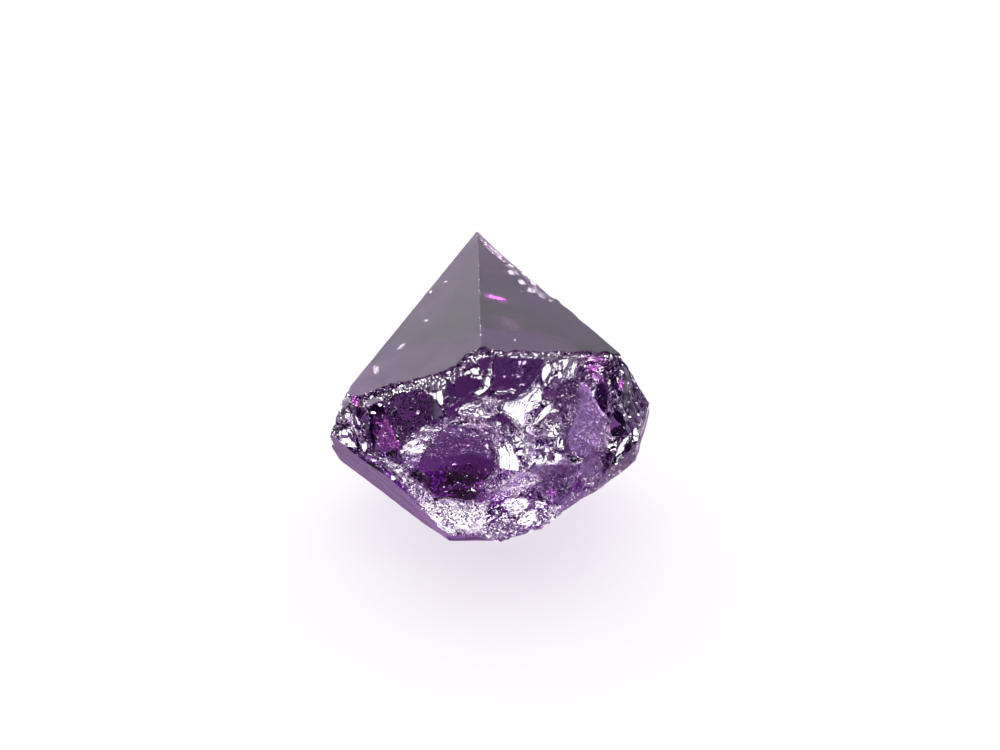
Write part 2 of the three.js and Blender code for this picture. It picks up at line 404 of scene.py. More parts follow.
# ------------------------------------------------------------------ the break, place by place
# general roughness of the break: broad unevenness and faint ripples everywhere
H += .05 * fbm(U * .9, V * .9, 11, 3) * smooth(0, .3, down)
H += .012 * ridge(np.hypot(U + 2.6, V - 4.4) / .42 + .6 * fbm(U * .8, V * .8, 12, 2), .3) * smooth(0, .5, down)

# --- left end: silver hackle running down to the right
LEFT_END = [(-9.31, 8.33), (-8.51, 8.22), (-8.28, 7.41), (-7.82, 6.49), (-7.41, 5.34), (-6.21, 4.08), (-7.36, 4.54), (-8.62, 5.34), (-9.77, 5.46), (-9.89, 6.38)]
facet(LEFT_END, -.15, .10, 0, (.1, .1), seed=1, soft=.08)
hackle(LEFT_END, 1.4, .18, angle=-52, sb=-.35, dark=.35, vary=.25, seed=2, base=.25)
facet([(-8.62, 8.62), (-8.16, 8.56), (-8.05, 8.16), (-8.39, 7.59), (-8.68, 7.87)], .5, .35, 0, (.6, .3), seed=3, grit=.5)
facet([(-8.33, 7.87), (-7.82, 7.59), (-7.53, 7.07), (-7.93, 6.72), (-8.33, 7.3)], .4, .5, -.05, (.4, .4), seed=4, grit=.25)
seam([(-8.13, 7.93), (-7.99, 7.73), (-7.79, 7.47)], 0.092, .05, 5)

# --- magenta scoop and its neighbours
OVAL = [(-7.7, 8.1), (-7.01, 8.22), (-6.44, 7.99), (-6.15, 7.41), (-5.92, 6.38), (-5.78, 5.46), (-6.03, 5.06), (-6.44, 4.8), (-6.95, 5), (-7.36, 5.46), (-7.5, 6.09), (-7.53, 6.95)]
facet(OVAL, .10, .62, -.1, (.55, .28), wobble=.02, seed=6, waves=((((-5.63, 8.1)), .9, .006, .4),))
facet([(-6.67, 7.99), (-6.21, 7.87), (-6.09, 6.95), (-5.86, 6.15), (-6.15, 6.26), (-6.44, 6.95)], .75, .45, -.05, (.3, .1), seed=7)
DARK_L = [(-6.38, 8.22), (-5.75, 8.91), (-4.48, 8.79), (-4.02, 7.87), (-3.97, 6.95), (-5, 6.32), (-5.69, 5.63), (-5.72, 6.67), (-6.15, 7.41)]
facet(DARK_L, .05, .17, -.12, (.12, .05), wobble=.02, seed=8)
facet([(-4.48, 8.74), (-4.14, 8.51), (-3.28, 7.59), (-3.1, 7.01), (-3.68, 6.9), (-4.02, 7.07), (-4.08, 7.87)], .75, .1, 0, (.9, 0), seed=9, soft=.06)
crumble([(-6.26, 7.36), (-5.86, 7.3), (-5.63, 6.49), (-5.63, 5.92), (-5.98, 6.03)], .1, 1.5, .06, 10, .1)
hackle([(-6.32, 6.72), (-6.03, 6.61), (-5.69, 5.75), (-5.86, 5.46), (-6.09, 5.92)], .9, .17, angle=-65, sb=-.35, dark=.2, vary=.15, seed=11, base=.25)
hackle([(-6.67, 8.16), (-6.21, 7.99), (-5.86, 7.3), (-6.03, 6.95), (-6.32, 7.53)], .5, .15, angle=-60, sb=-.35, dark=.4, vary=.3, seed=111, base=.25)

# --- small facets under the left part of the rim
lay([(-4.15, 8.53), (-3.29, 8.74), (-3.23, 7.59), (-3.62, 7.99)], .02, -.4, .8, 12, .15, .02)
strokes([(-3.28, 8.79), (-2.93, 8.79), (-2.93, 7.53), (-3.22, 7.47)], 84, .12, .05, 13, .5, .05)
facet([(-3.05, 9.37), (-2.64, 9.08), (-2.61, 8.56), (-2.53, 7.93), (-2.93, 7.82), (-3.1, 8.68)], .45, .25, 0, (0, 0), seed=14)
facet([(-2.48, 9.46), (-1.91, 9.51), (-1.16, 9.29), (-1.34, 8.8), (-2, 8.23), (-2.53, 8.02), (-2.61, 8.54), (-2.66, 9.06)], .05, .16, -.1, (.05, .05), seed=15)
lay([(-1.95, 9.54), (-1.72, 9.57), (-0.92, 9.48), (-1.03, 9.25), (-1.49, 9.34)], .1, -.75, .35, 16)
facet([(-2.53, 10.4), (-2.07, 10.57), (-1.95, 10.11), (-2.41, 9.89)], -.3, .35, 0, seed=17)
facet([(-2.04, 10.4), (-1.55, 10.55), (-1.49, 10.06), (-2.01, 9.77)], .25, .3, -.04, seed=18)
facet([(-1.51, 10.57), (-1.26, 10.8), (-0.46, 10.66), (-0.4, 10.4), (-0.63, 9.94), (-0.86, 9.6), (-1.15, 9.54), (-1.26, 10.06)], -.12, .1, -.06, seed=19)
lay([(-2, 9.77), (-1.52, 10.03), (-1.21, 9.86), (-1.18, 9.54), (-2, 9.6)], 0, -.4, .9, 20, .2, .02)
lay([(-1.52, 10.32), (-1.32, 10.32), (-1.21, 10.06), (-1.47, 10.06)], 0, -.4, .5, 21)
lay([(-0.6, 9.77), (-0.49, 9.48), (-0.55, 8.91), (-0.92, 8.56), (-1.25, 8.3), (-1.55, 8.42), (-0.99, 9.06), (-0.76, 9.55)], .04, -.4, .6, 22, .25, .03)

# --- the clear window right of the ridge
WINDOW = [(-0.2, 10.79), (0.34, 10.85), (2.3, 10.78), (3.45, 10.66), (3.16, 10.37), (2.49, 10.17), (2.31, 9.51), (1.83, 8.76), (1.52, 8.45), (1.13, 8.33), (0.8, 8.62), (0.42, 8.76), (-0.72, 8.65), (-0.41, 9.06), (-0.4, 10.17)]
facet(WINDOW, -.03, .02, -.05, (.03, .03), seed=23)
facet([(1.49, 10.8), (3.45, 10.66), (3.16, 10.37), (2.49, 10.17), (2.31, 9.51), (1.83, 8.76), (1.52, 8.45), (1.38, 9.25), (1.67, 10.06)], -.28, .05, .03, seed=24, soft=.07)
strokes(WINDOW, 84, .2, .006, 25, .5, .1)
# pale ledge along the window's foot
lay([(-0.75, 8.59), (-0.29, 8.68), (0.34, 8.7), (0.46, 8.62), (0.11, 8.51), (-0.46, 8.45)], .05, -.62, .3, 26, .3, .2)
facet([(0.06, 8.26), (0.49, 8.59), (0.95, 8.57), (1.15, 8.3), (0.78, 8.11)], 0, .3, .05, (.3, .9), seed=27)

# --- middle: lilac shoulder, swept streaks
MID = [(0, 8.16), (0.75, 8.1), (1.55, 8.45), (2.3, 9.25), (2.36, 8.56), (1.72, 7.53), (1.38, 6.49), (0.86, 6.95), (0.17, 7.47)]
facet(MID, .05, -.2, 0, (.1, .1), seed=28, soft=.08, frost=.12)
strokes(MID, 60, .16, .016, 29, .4, .1, (0, -.05))
FAN = [(-2.64, 7.59), (-1.72, 8.05), (-0.8, 8.33), (0.11, 8.16), (-0.17, 7.53), (-0.46, 7.13), (-1.15, 6.9), (-2.18, 7.13)]
facet(FAN, .02, -.3, .05, (.05, 0), seed=30, soft=.05)
hackle(FAN, 1.5, .18, angle=18, sb=-.38, dark=.08, vary=.13, seed=31, fine=.12)
white([(-2.53, 7.53), (-1.95, 7.93), (-0.8, 8.22), (0.17, 8.16), (-0.46, 7.96), (-1.49, 7.76), (-2.18, 7.47)], 17, gap=0.45, sb=-0.38, seed=32)
white([(-2.24, 7.49), (-1.16, 7.43), (-1.06, 6.93), (-1.72, 7.04), (-2.41, 7.18)], -12, gap=0.5, sb=-0.38, seed=33)
facet([(-1.15, 7.82), (-0.34, 7.99), (-0.17, 7.64), (-0.57, 7.24), (-0.92, 7.36)], .15, .25, -.05, (.4, .4), seed=34)
hackle([(-0.34, 7.87), (0.29, 8.05), (0.11, 7.59), (-0.23, 7.13), (-0.52, 7.18)], .7, .16, angle=55, sb=-.38, dark=.35, vary=.25, seed=35)
facet([(-0.06, 7.36), (0.23, 7.44), (0.64, 7.07), (0.69, 6.61), (0.29, 6.55), (-0.06, 6.9)], .2, .5, -.08, (.2, .2), seed=36, grit=.4)

# --- silver flakes round the big scoop
SILVER = [(-3.68, 6.72), (-2.18, 7.07), (-1.15, 6.9), (0, 6.95), (0.69, 6.61), (1.21, 6.03), (1.44, 4.89), (1.26, 4.08), (0.29, 2.82), (-0.29, 3.05), (-0.17, 4.54), (-0.4, 5.57), (-1.03, 6.21), (-2.13, 6.55)]
RING = [(-5.86, 5.11), (-5.46, 5.8), (-4.89, 6.32), (-4.02, 6.72), (-3.16, 6.95), (-2.18, 7.18), (-1.15, 7.07), (-0.17, 6.72), (0.46, 6.03), (0.92, 5.11), (1.15, 4.08), (0.92, 3.16), (0.29, 2.7), (-0.92, 2.7), (-2.3, 4.08), (-4.02, 4.08), (-5.4, 4.08)]
facet(SILVER, -.05, -.25, .05, (.05, .05), seed=37, soft=.06)
hackle(RING, 1.1, .2, centre=(-2.76, 4.31), sb=-.38, dark=.08, vary=.13, seed=38, fine=.12)
hackle([(-3.45, 7.13), (-2.18, 7.24), (-1.15, 7.07), (0, 6.9), (0.57, 6.26), (0, 5.69), (-0.69, 6.03), (-1.72, 6.49), (-3.1, 6.72)], .5, .16, centre=(-2.76, 4.31), sb=-.38, dark=.1, vary=.14, seed=381, fine=.12)
hackle([(0.69, 6.72), (1.26, 6.15), (1.49, 5.11), (1.38, 3.97), (0.92, 3.51), (0.69, 4.54), (0.46, 5.8)], .6, .16, angle=80, sb=-.36, dark=.1, vary=.14, seed=382, fine=.12)
white([(-0.46, 6.38), (0, 6.49), (0.52, 6.03), (0.8, 5.4), (1.09, 4.66), (1.15, 3.85), (0.86, 3.16), (0.34, 2.82), (-0.23, 2.87), (-0.34, 3.51), (-0.06, 4.2), (-0.06, 5.11), (-0.34, 5.8)], 0, gap=2.6, sb=-.36, lines=.21, high=.026, seed=411, round_=(-2.87, 4.43))
white([(-3.62, 6.75), (-2.87, 7.01), (-1.84, 7.1), (-0.92, 6.9), (-0.17, 6.44), (-0.23, 5.98), (-0.8, 6.26), (-1.72, 6.55), (-2.76, 6.64)], 0, gap=.42, sb=-.36, lines=.2, high=.014, seed=412, swing=-.4, round_=(-2.87, 4.43))
white([(-5.23, 5.75), (-4.6, 6.32), (-3.79, 6.64), (-3.39, 6.55), (-3.62, 6.15), (-4.2, 5.63), (-4.6, 5.23), (-5.29, 5.11)], 38, gap=.8, sb=-.38, lines=.2, high=.02, seed=413)
seam([(0.16, 7.44), (0.52, 7.18), (0.86, 6.95), (1.21, 6.44), (1.39, 5.77), (1.52, 4.89), (1.67, 4.25)], 0.149, .09, 40, .1)

# --- the big scoop
BOWL = [(-3.45, 6.63), (-2.41, 6.61), (-1.38, 6.21), (-0.6, 5.69), (-0.27, 5.17), (-0.32, 4.48), (-0.63, 3.74), (-1.21, 3.05), (-1.41, 2.36), (-1.9, 2.24), (-3.16, 2.53), (-3.85, 2.53), (-4.25, 3.1), (-4.97, 3.42), (-5.34, 3.85), (-4.77, 4.24), (-4.51, 4.75), (-4.14, 5.36), (-3.53, 5.93), (-3.68, 6.44)]
facet(BOWL, .04, .56, -.35, (.34, .19), wobble=.015, seed=43, waves=(((-2.76, 1.21), .55, .006, .4),))
hackle([(-3.79, 6.38), (-3.45, 6.67), (-2.41, 6.67), (-1.26, 6.26), (-0.46, 5.69), (-0.17, 4.94), (-0.52, 5.11), (-1.26, 5.86), (-2.41, 6.26), (-3.45, 6.26)], .7, .1, centre=(-2.87, 4.08), dark=.45, vary=.3, seed=44, base=.25, fade=.4)
H += .028 * fbm(U * 1.5, V * 1.5, 441, 3) * smooth(-.05, .3, polygon(BOWL))
hackle([(-3.45, 3.1), (-2.41, 3.28), (-1.49, 3.16), (-1.32, 2.82), (-1.84, 2.93), (-2.41, 3.05), (-3.22, 2.87)], .5, .12, angle=4, dark=.4, vary=.3, seed=45, base=.25)
facet([(-5.23, 3.85), (-4.77, 4.2), (-4.37, 3.97), (-4.14, 3.28), (-4.94, 3.45)], .35, .35, 0, (.3, .3), seed=46, grit=.4, frost=.1)

# --- white shells at the left of the big scoop
white([(-5.29, 5.98), (-5, 6.32), (-4.48, 6.61), (-3.68, 6.81), (-3.1, 6.9), (-2.87, 6.67), (-3.45, 6.38), (-3.68, 5.98), (-4.2, 6.15), (-4.86, 5.86)], 26, gap=0.6, sb=-0.38, seed=47)
white([(-5.8, 5.11), (-5.52, 5.46), (-5.17, 5.75), (-4.68, 5.98), (-4.48, 5.86), (-5.06, 5.4), (-5.63, 5.06)], 38, gap=0.6, sb=-0.38, seed=48)
white([(-5.57, 4.94), (-5.17, 5.31), (-4.56, 5.59), (-4.2, 5.49), (-4.35, 5.16), (-4.97, 4.91)], 30, gap=1.2, sb=-0.38, seed=49)
white([(-5.46, 4.25), (-5.06, 4.71), (-4.49, 5.07), (-4.54, 4.68), (-4.94, 4.2)], 42, gap=0.9, sb=-0.38, seed=50)
hackle([(-5.86, 5.06), (-5.29, 5.11), (-5.11, 4.89), (-5.52, 4.43), (-5.98, 4.66)], .5, .16, angle=40, sb=-.3, dark=.4, vary=.3, seed=51, base=.25)

# --- crushed band beside the parting facet and the foot of the break
CRUSH = [(-7.59, 5.29), (-7.07, 4.94), (-6.32, 4.71), (-5.52, 4.31), (-5.17, 3.62), (-4.25, 3.05), (-3.79, 2.47), (-3.1, 2.47), (-1.72, 2.24), (-0.57, 2.36), (-0.8, 1.21), (-1.26, 0.4), (-2.59, 0.29), (-4.02, 0.63), (-4.31, 1.55), (-5.06, 2.64), (-5.98, 3.79)]
facet(CRUSH, -.05, -.1, .03, (0, 0), seed=52, soft=.1, frost=.3)
hackle(CRUSH, .6, .17, angle=-35, sb=-.3, dark=.25, vary=.35, seed=520, base=.25)
hackle([(-4.37, 2.93), (-3.1, 2.41), (-1.72, 2.18), (-0.69, 2.3), (-0.8, 1.21), (-1.26, 0.4), (-2.59, 0.29), (-4.02, 0.63), (-4.31, 1.55)], .5, .18, angle=10, sb=-.25, dark=.2, vary=.3, seed=53, base=.25)
hackle([(-3.97, 1.49), (-3.05, 1.72), (-1.72, 1.55), (-0.86, 1.44), (-1.15, 0.86), (-2.3, 0.57), (-3.45, 0.63)], .9, .26, angle=8, sb=-.22, dark=.12, vary=.15, seed=54, base=.25)

# --- foot, middle and right
FOOT = [(-0.92, 2.7), (0.29, 3.28), (1.15, 3.85), (2.3, 3.85), (2.59, 2.82), (3.45, 2.24), (3.56, 1.67), (2.59, 0.86), (0, 0.06), (-1.26, 0.4)]
facet(FOOT, 0, -.15, .03, (.05, .05), seed=560, soft=.08)
hackle(FOOT, .7, .19, angle=25, sb=-.28, dark=.35, vary=.3, seed=561, base=.25)
white([(-0.92, 2.18), (-0.23, 2.64), (0.46, 3.1), (1.21, 3.68), (2.13, 3.82), (2.24, 3.45), (1.61, 2.93), (1.03, 2.59), (0.32, 2.47), (-0.46, 2.18)], 33, gap=0.75, sb=-0.33, seed=56)
white([(0, 2.07), (0.37, 2.45), (1.43, 2.47), (1.78, 2.13), (1.26, 1.66), (0.84, 1.49), (0.4, 1.72)], 20, gap=0.7, sb=-0.28, seed=57)
facet([(0.98, 2.53), (1.26, 2.84), (1.44, 2.64), (1.26, 2.47)], .3, .6, 0, seed=58)
white([(0.86, 1.06), (1.35, 1.64), (1.95, 1.78), (2.13, 1.15), (1.55, 0.89)], 15, gap=0.7, sb=-0.22, seed=59)
facet([(2.01, 1.9), (2.47, 1.95), (2.53, 1.26), (2.18, 1.15)], .45, .35, 0, seed=60)
facet([(0.46, 1.57), (0.98, 1.52), (1.09, 1.15), (0.63, 0.98)], -.2, .5, .05, (-.8, -.8), seed=61, grit=.3)
crumble([(-0.86, 1.26), (0.52, 1.15), (0.69, 0.46), (-0.57, 0.17), (-1.26, 0.29)], .22, .8, .06, 62, .12)
hackle([(1.49, 2.99), (2.3, 3.1), (3.05, 2.36), (3.56, 2.18), (3.22, 1.67), (2.07, 1.9)], 1.1, .18, angle=-18, sb=-.25, dark=.4, vary=.2, seed=63, base=.25)

# --- lower right scoop
BOWL2 = [(1.78, 3.99), (2.49, 4.43), (3.31, 4.55), (4.13, 4.33), (4.4, 4.08), (4.34, 3.74), (4.02, 2.93), (3.45, 2.3), (2.99, 2.24), (2.49, 2.53), (2.18, 3.1), (2.25, 3.62)]
facet(BOWL2, -.05, .5, -.15, (.5, .5), wobble=.01, seed=64, waves=(((2.99, 2.36), .5, .008, .4),))
facet([(2.95, 3.33), (3.54, 3.51), (4.34, 3.76), (4.02, 2.93), (3.45, 2.3), (3.01, 2.24)], .55, .75, -.04, (.2, .2), seed=65, grit=.2)
seam([(1.67, 4.03), (2.49, 4.45), (3.31, 4.57), (4.13, 4.36), (4.43, 4.14)], 0.092, .05, 66)
seam([(3.51, 3.51), (3.91, 3.71), (4.37, 3.85)], 0.08, .04, 67)

# --- centre right: violet upright band, silver ripples, white shells
facet([(1.38, 6.49), (1.9, 6.72), (2.07, 5.8), (2.07, 4.77), (1.72, 4.43), (1.55, 5.11)], -.1, .35, -.05, (.3, .1), seed=68)
RIP = [(1.9, 6.15), (2.76, 6.49), (3.45, 6.38), (3.79, 5.8), (3.68, 4.94), (3.28, 4.43), (2.47, 4.43), (1.72, 4.37), (1.84, 5.23)]
facet(RIP, 0, -.22, .02, (0, 0), seed=69, soft=.06)
hackle(RIP, .8, .18, angle=58, sb=-.36, dark=.1, vary=.14, seed=70, fine=.12)
white([(1.95, 6.03), (2.64, 6.44), (3.33, 6.38), (3.74, 5.8), (3.62, 5), (3.28, 4.48), (2.59, 4.48), (1.9, 4.48)], 62, gap=1.6, sb=-.37, lines=.2, high=.026, seed=701)
white([(3.16, 6.15), (3.51, 6.15), (3.79, 5.46), (3.56, 4.71), (3.22, 4.48), (3.05, 5.11)], 74, gap=2.2, sb=-.36, lines=.2, high=.024, seed=71)
white([(1.78, 4.94), (2.24, 5.29), (2.76, 5.46), (2.87, 5.23), (2.36, 4.83), (1.9, 4.48)], 30, gap=.6, sb=-.36, seed=711)
facet([(2.13, 5.17), (2.47, 5.34), (2.59, 5.06), (2.24, 4.94)], .3, .4, -.05, seed=712)
facet([(2.7, 4.89), (3.05, 5.11), (3.1, 4.66), (2.82, 4.6)], -.3, .4, -.05, seed=713)
SWIRL = [(2.47, 8.91), (2.47, 8.22), (2.13, 7.59), (1.9, 6.95), (1.78, 6.15), (1.44, 6.38), (1.38, 7.3), (1.67, 8.1), (2.07, 8.62)]
facet(SWIRL, 0, -.3, .04, (0, 0), seed=720, soft=.04)
white(SWIRL, 70, gap=2.2, sb=-.38, lines=.2, high=.026, seed=72)
SH = [(2.3, 7.18), (2.93, 7.99), (3.39, 7.7), (3.62, 6.67), (3.33, 5.98), (2.59, 5.98), (1.95, 6.03), (1.9, 6.61)]
facet(SH, .05, -.2, 0, (0, 0), seed=75, soft=.06)
hackle(SH, .8, .18, centre=(3.79, 5.8), sb=-.36, dark=.12, vary=.14, seed=76, fine=.12)
white([(3.05, 8.05), (2.93, 7.47), (2.47, 6.9), (2.13, 6.32), (1.78, 6.21), (1.84, 6.78), (2.36, 7.53)], 56, gap=2.2, sb=-.38, lines=.2, high=.026, seed=73)
facet([(2.36, 8.79), (2.82, 8.74), (3.28, 8.68), (3.22, 8.16), (2.93, 8.05), (2.47, 8.22)], .2, .3, -.06, (.2, .2), seed=74, grit=.2)
facet([(2.13, 6.15), (2.59, 6.67), (2.82, 6.32), (2.53, 5.92)], .1, .45, -.05, (.2, .2), seed=77)
facet([(2.82, 7.3), (3.28, 7.41), (3.39, 6.84), (2.99, 6.67)], .2, .5, -.05, (.2, .2), seed=771, grit=.3)
SHOULDER_W = [(2.33, 10.06), (2.59, 10.31), (3.28, 10.4), (3.45, 10.4), (3.79, 10.52), (4.08, 10.78), (4.77, 10.69), (4.71, 10.17), (4.45, 9.89), (4.31, 9.37), (3.79, 9.37), (3.45, 8.97), (3.05, 8.74), (2.47, 8.79), (2.27, 9.43)]
facet(SHOULDER_W, 0, -.32, .05, (0, 0), seed=780, soft=.05)
white(SHOULDER_W, 80, gap=3.0, sb=-.38, lines=.26, high=.036, seed=78)
hackle([(2.99, 10.29), (3.51, 10.46), (3.62, 9.48), (3.22, 8.74), (2.93, 8.74)], .7, .17, angle=82, sb=-.35, dark=.4, vary=.22, seed=79)
white([(2.41, 10.06), (2.64, 10.25), (2.93, 10.29), (2.99, 9.48), (2.87, 8.85), (2.47, 8.91), (2.36, 9.48)], 82, gap=3, sb=-.38, lines=.22, high=.026, seed=782)
white([(3.79, 9.94), (4.08, 10.69), (4.71, 10.63), (4.66, 10.17), (4.4, 9.89), (4.25, 9.43), (3.85, 9.43)], 76, gap=3, sb=-.38, lines=.22, high=.026, seed=80)

# --- right: speckled dark field and the smooth violet scoop
SPECK = [(3.75, 9.4), (4.45, 9.2), (4.63, 8.56), (4.59, 7.76), (4.28, 6.9), (3.82, 5.92), (4.08, 5.17), (3.74, 5.23), (3.53, 6.67), (3.18, 7.93), (3.39, 8.97)]
facet(SPECK, .15, .38, -.1, (.1, .1), seed=82, grit=.3)
crumble(SPECK, .11, 1.1, .08, 83, .05)
SCOOP = [(4.54, 9.2), (5.11, 8.85), (5.4, 8.1), (5.98, 7.33), (6.09, 7.01), (5.83, 6.29), (5.69, 5.72), (5.55, 5.11), (4.85, 4.83), (4.06, 5.17), (3.84, 5.98), (4.28, 6.87), (4.59, 7.75), (4.5, 8.63)]
facet(SCOOP, -.12, .40, -.12, (.30, .10), wobble=.01, seed=84, frost=.1, waves=(((3.45, 4.08), .7, .004, .4),))
facet([(5.4, 8.22), (5.57, 8.97), (6.09, 9.31), (6.28, 8.62), (6.21, 7.76), (6.03, 7.24), (5.69, 7.59)], .5, .62, -.02, (.3, .1), seed=85)
seam([(6.24, 9.25), (6.28, 8.62), (6.26, 7.87), (6.17, 7.24), (5.9, 6.52), (5.77, 5.77), (5.86, 4.89)], 0.149, .06, 86, .1)
crumble([(5.69, 6.15), (6.03, 6.15), (6.15, 4.08), (5.69, 4.08)], .16, .8, .06, 87, .3)
seam([(4.77, 4.51), (5.29, 4.71), (5.63, 5.06)], 0.098, .06, 88)
facet([(3.68, 4.94), (4.08, 5.06), (4.83, 4.77), (4.6, 4.48), (4.08, 4.43)], .0, .2, 0, (0, .3), seed=89)

# --- crumbly right shoulder
SHOULDER_Z = [(4.71, 10.69), (5.75, 10.86), (7.01, 10.69), (7.59, 9.71), (7.24, 9.48), (6.44, 9.6), (6.09, 9.37), (5.63, 9.02), (5.23, 8.56), (4.89, 9.2), (4.54, 9.25), (4.43, 9.94)]
crumble(SHOULDER_Z, .2, 1.9, .08, 90, .05, .4)
facet([(4.83, 10.4), (5.29, 10.63), (5.57, 10.06), (5.11, 9.71)], .2, .35, -.05, (.4, .4), seed=91, grit=.5)
facet([(5.29, 9.71), (5.92, 9.94), (5.98, 9.37), (5.4, 9.2)], -.2, .2, 0, (.2, .2), seed=92, grit=.6)

# --- right end
RIGHT_END = [(6.38, 9.71), (7.13, 9.71), (8.05, 8.33), (8.74, 7.41), (8.62, 6.03), (8.05, 4.89), (7.01, 4.2), (6.15, 4.54), (6.09, 6.38), (6.38, 7.82)]
facet([(6.38, 9.6), (7.13, 9.77), (7.07, 8.91), (6.67, 7.87), (6.38, 7.93)], .3, .45, -.05, (.2, 0), seed=93, grit=.15)
hackle([(6.67, 9.48), (7.59, 9.48), (7.36, 8.56), (6.78, 7.64), (6.44, 7.59)], 1.0, .17, angle=66, sb=-.2, dark=.55, vary=.3, seed=94, base=.25)
facet([(7.07, 9.02), (7.64, 9.08), (7.7, 8.51), (7.18, 8.28)], .5, .6, -.02, seed=95)
facet([(7.18, 8.28), (8.05, 8.28), (7.87, 7.99), (7.36, 7.99)], .1, -.3, 0, seed=96)
facet([(6.65, 7.61), (7.22, 7.33), (7.59, 6.32), (6.52, 5.92), (6.14, 6.29), (6.34, 6.95)], .2, .4, -.05, (.15, .15), seed=97)
lay([(7.53, 8.02), (7.93, 8.07), (7.87, 7.7), (7.59, 7.53)], 0, -.4, .5, 98)
facet([(7.82, 8.1), (8.33, 8.1), (8.51, 7.36), (8.05, 7.01), (7.7, 7.41)], .35, .4, -.03, seed=99, grit=.2)
facet([(7.3, 7.41), (7.7, 7.36), (8.1, 6.9), (8.28, 6.15), (8.05, 5.11), (7.59, 5.23), (7.59, 6.32)], .5, .2, 0, (.2, .2), seed=100)
white([(7.56, 6.26), (7.18, 5.4), (7.13, 4.89), (6.7, 4.31), (6.32, 4.43), (6.61, 5.11), (6.95, 5.75)], 62, gap=0.8, sb=-0.38, seed=101)
hackle([(6.15, 6.03), (6.9, 5.92), (6.67, 5.11), (6.32, 4.43), (5.98, 4.77)], .8, .17, angle=60, sb=-.3, dark=.35, vary=.25, seed=102, base=.25)

# --- small scoop low on the right and the rim under it
facet([(4.71, 4.37), (5.17, 4.71), (5.63, 4.89), (5.92, 4.39), (5.83, 3.79), (5.29, 3.16), (4.66, 3.16), (4.43, 3.74)], -.1, .5, -.1, (.9, .9), seed=103, frost=.05)
facet([(5.17, 3.85), (5.37, 3.97), (5.46, 3.68), (5.23, 3.56)], 0, -.5, .03, seed=104)
LOW_RIM = [(2.3, 0.98), (2.99, 2.24), (3.56, 2.24), (4.48, 3.05), (5.75, 3.51), (6.09, 4.2), (7.13, 4.43), (7.59, 4.77), (8.33, 5.11), (8.05, 4.08), (5.75, 2.36), (3.45, 1.21)]
crumble(LOW_RIM, .15, 1.2, .06, 105, .1)

# --- the window again, clear of the crumbs round it
WINDOW_IN = [(-0.23, 10.63), (2.3, 10.57), (3.22, 10.55), (2.99, 10.34), (2.49, 10.22), (2.31, 9.6), (1.78, 8.85), (1.49, 8.51), (1.13, 8.39), (0.8, 8.71), (0.42, 8.82), (-0.52, 8.76), (-0.37, 9.14), (-0.34, 10.06)]
facet(WINDOW_IN, -.10, .04, -.03, (.03, .03), seed=231, soft=.02)
facet([(1.26, 10.57), (2.3, 10.57), (3.22, 10.55), (2.99, 10.34), (2.49, 10.22), (2.31, 9.6), (1.78, 8.85), (1.49, 8.51), (1.13, 8.39), (1.21, 9.48)], -.24, .10, .02, seed=241, soft=.05)
strokes(WINDOW_IN, 86, .2, .005, 251, .5, .05)

# --- the glassy facets are not quite flat: slow waves and faint steps across them
for k, area_ in enumerate((OVAL, DARK_L, WINDOW, BOWL, BOWL2, SCOOP)):
    inside_ = smooth(-.02, .25, polygon(area_))
    H += inside_ * ((.006 if area_ is WINDOW else .02) * fbm(U * 1.1 + k, V * 1.4, 600 + k, 2) + .0035 * ridge(np.hypot(U + 3, V - 14) / .37 + .5 * fbm(U, V, 610 + k, 2), .35))
    H += inside_ * (.003 if area_ is WINDOW else .009) * np.clip(shards(U / .9, V / .7, 620 + k, 1.0, .8), -.4, .4)

# --- crumbly lip all along the rim of the two top faces
rim_h = old_top(A, edge_line)
H = np.where(down > 0, np.minimum(H, rim_h + .08 + .6 * down + 4 * np.maximum(0, down - .3)), H)
wide_ = table([(-12, .4), (-8.6, .5), (-5.6, .55), (-2.2, .5), (-.9, .5), (.1, .14), (3.4, .14), (4.2, .2), (5.2, .45), (8, .6)], U)
lip = smooth(wide_ * 1.25, wide_ * .75, down + .12 * fbm(U * 2.4, V * 2.4, 61, 2)) * smooth(-.02, .04, down)
crumbs = shards(U / .16, V / .16, 64, 1.5, .55) * .16 + shards(U / .09, V / .09, 65, 1.2, .5) * .07
H = H + lip * (crumbs - .08)
FROST = np.maximum(FROST, .15 * lip)

# --- dust-fine grain on everything that is broken
H += .004 * noise(U * 7, V * 7, 91) + .0022 * noise(U * 13, V * 13, 92)
H = np.where(down <= 0, old_top(A, B) + .6 - 2.5 * np.maximum(down, -1), H)


# ------------------------------------------------------------------ solids
def mm_to_frame(p):
    return (np.asarray(p, float) + SHIFT) / 1000.0


def break_point(a, b, h):
    return a[..., None] * AX + b[..., None] * UP + h[..., None] * OUT


def make_object(name, verts, faces):
    me = bpy.data.meshes.new(name)
    me.from_pydata(verts.tolist() if hasattr(verts, "tolist") else verts, [], faces)
    me.update()
    ob = bpy.data.objects.new(name, me)
    bpy.context.scene.collection.objects.link(ob)
    return ob


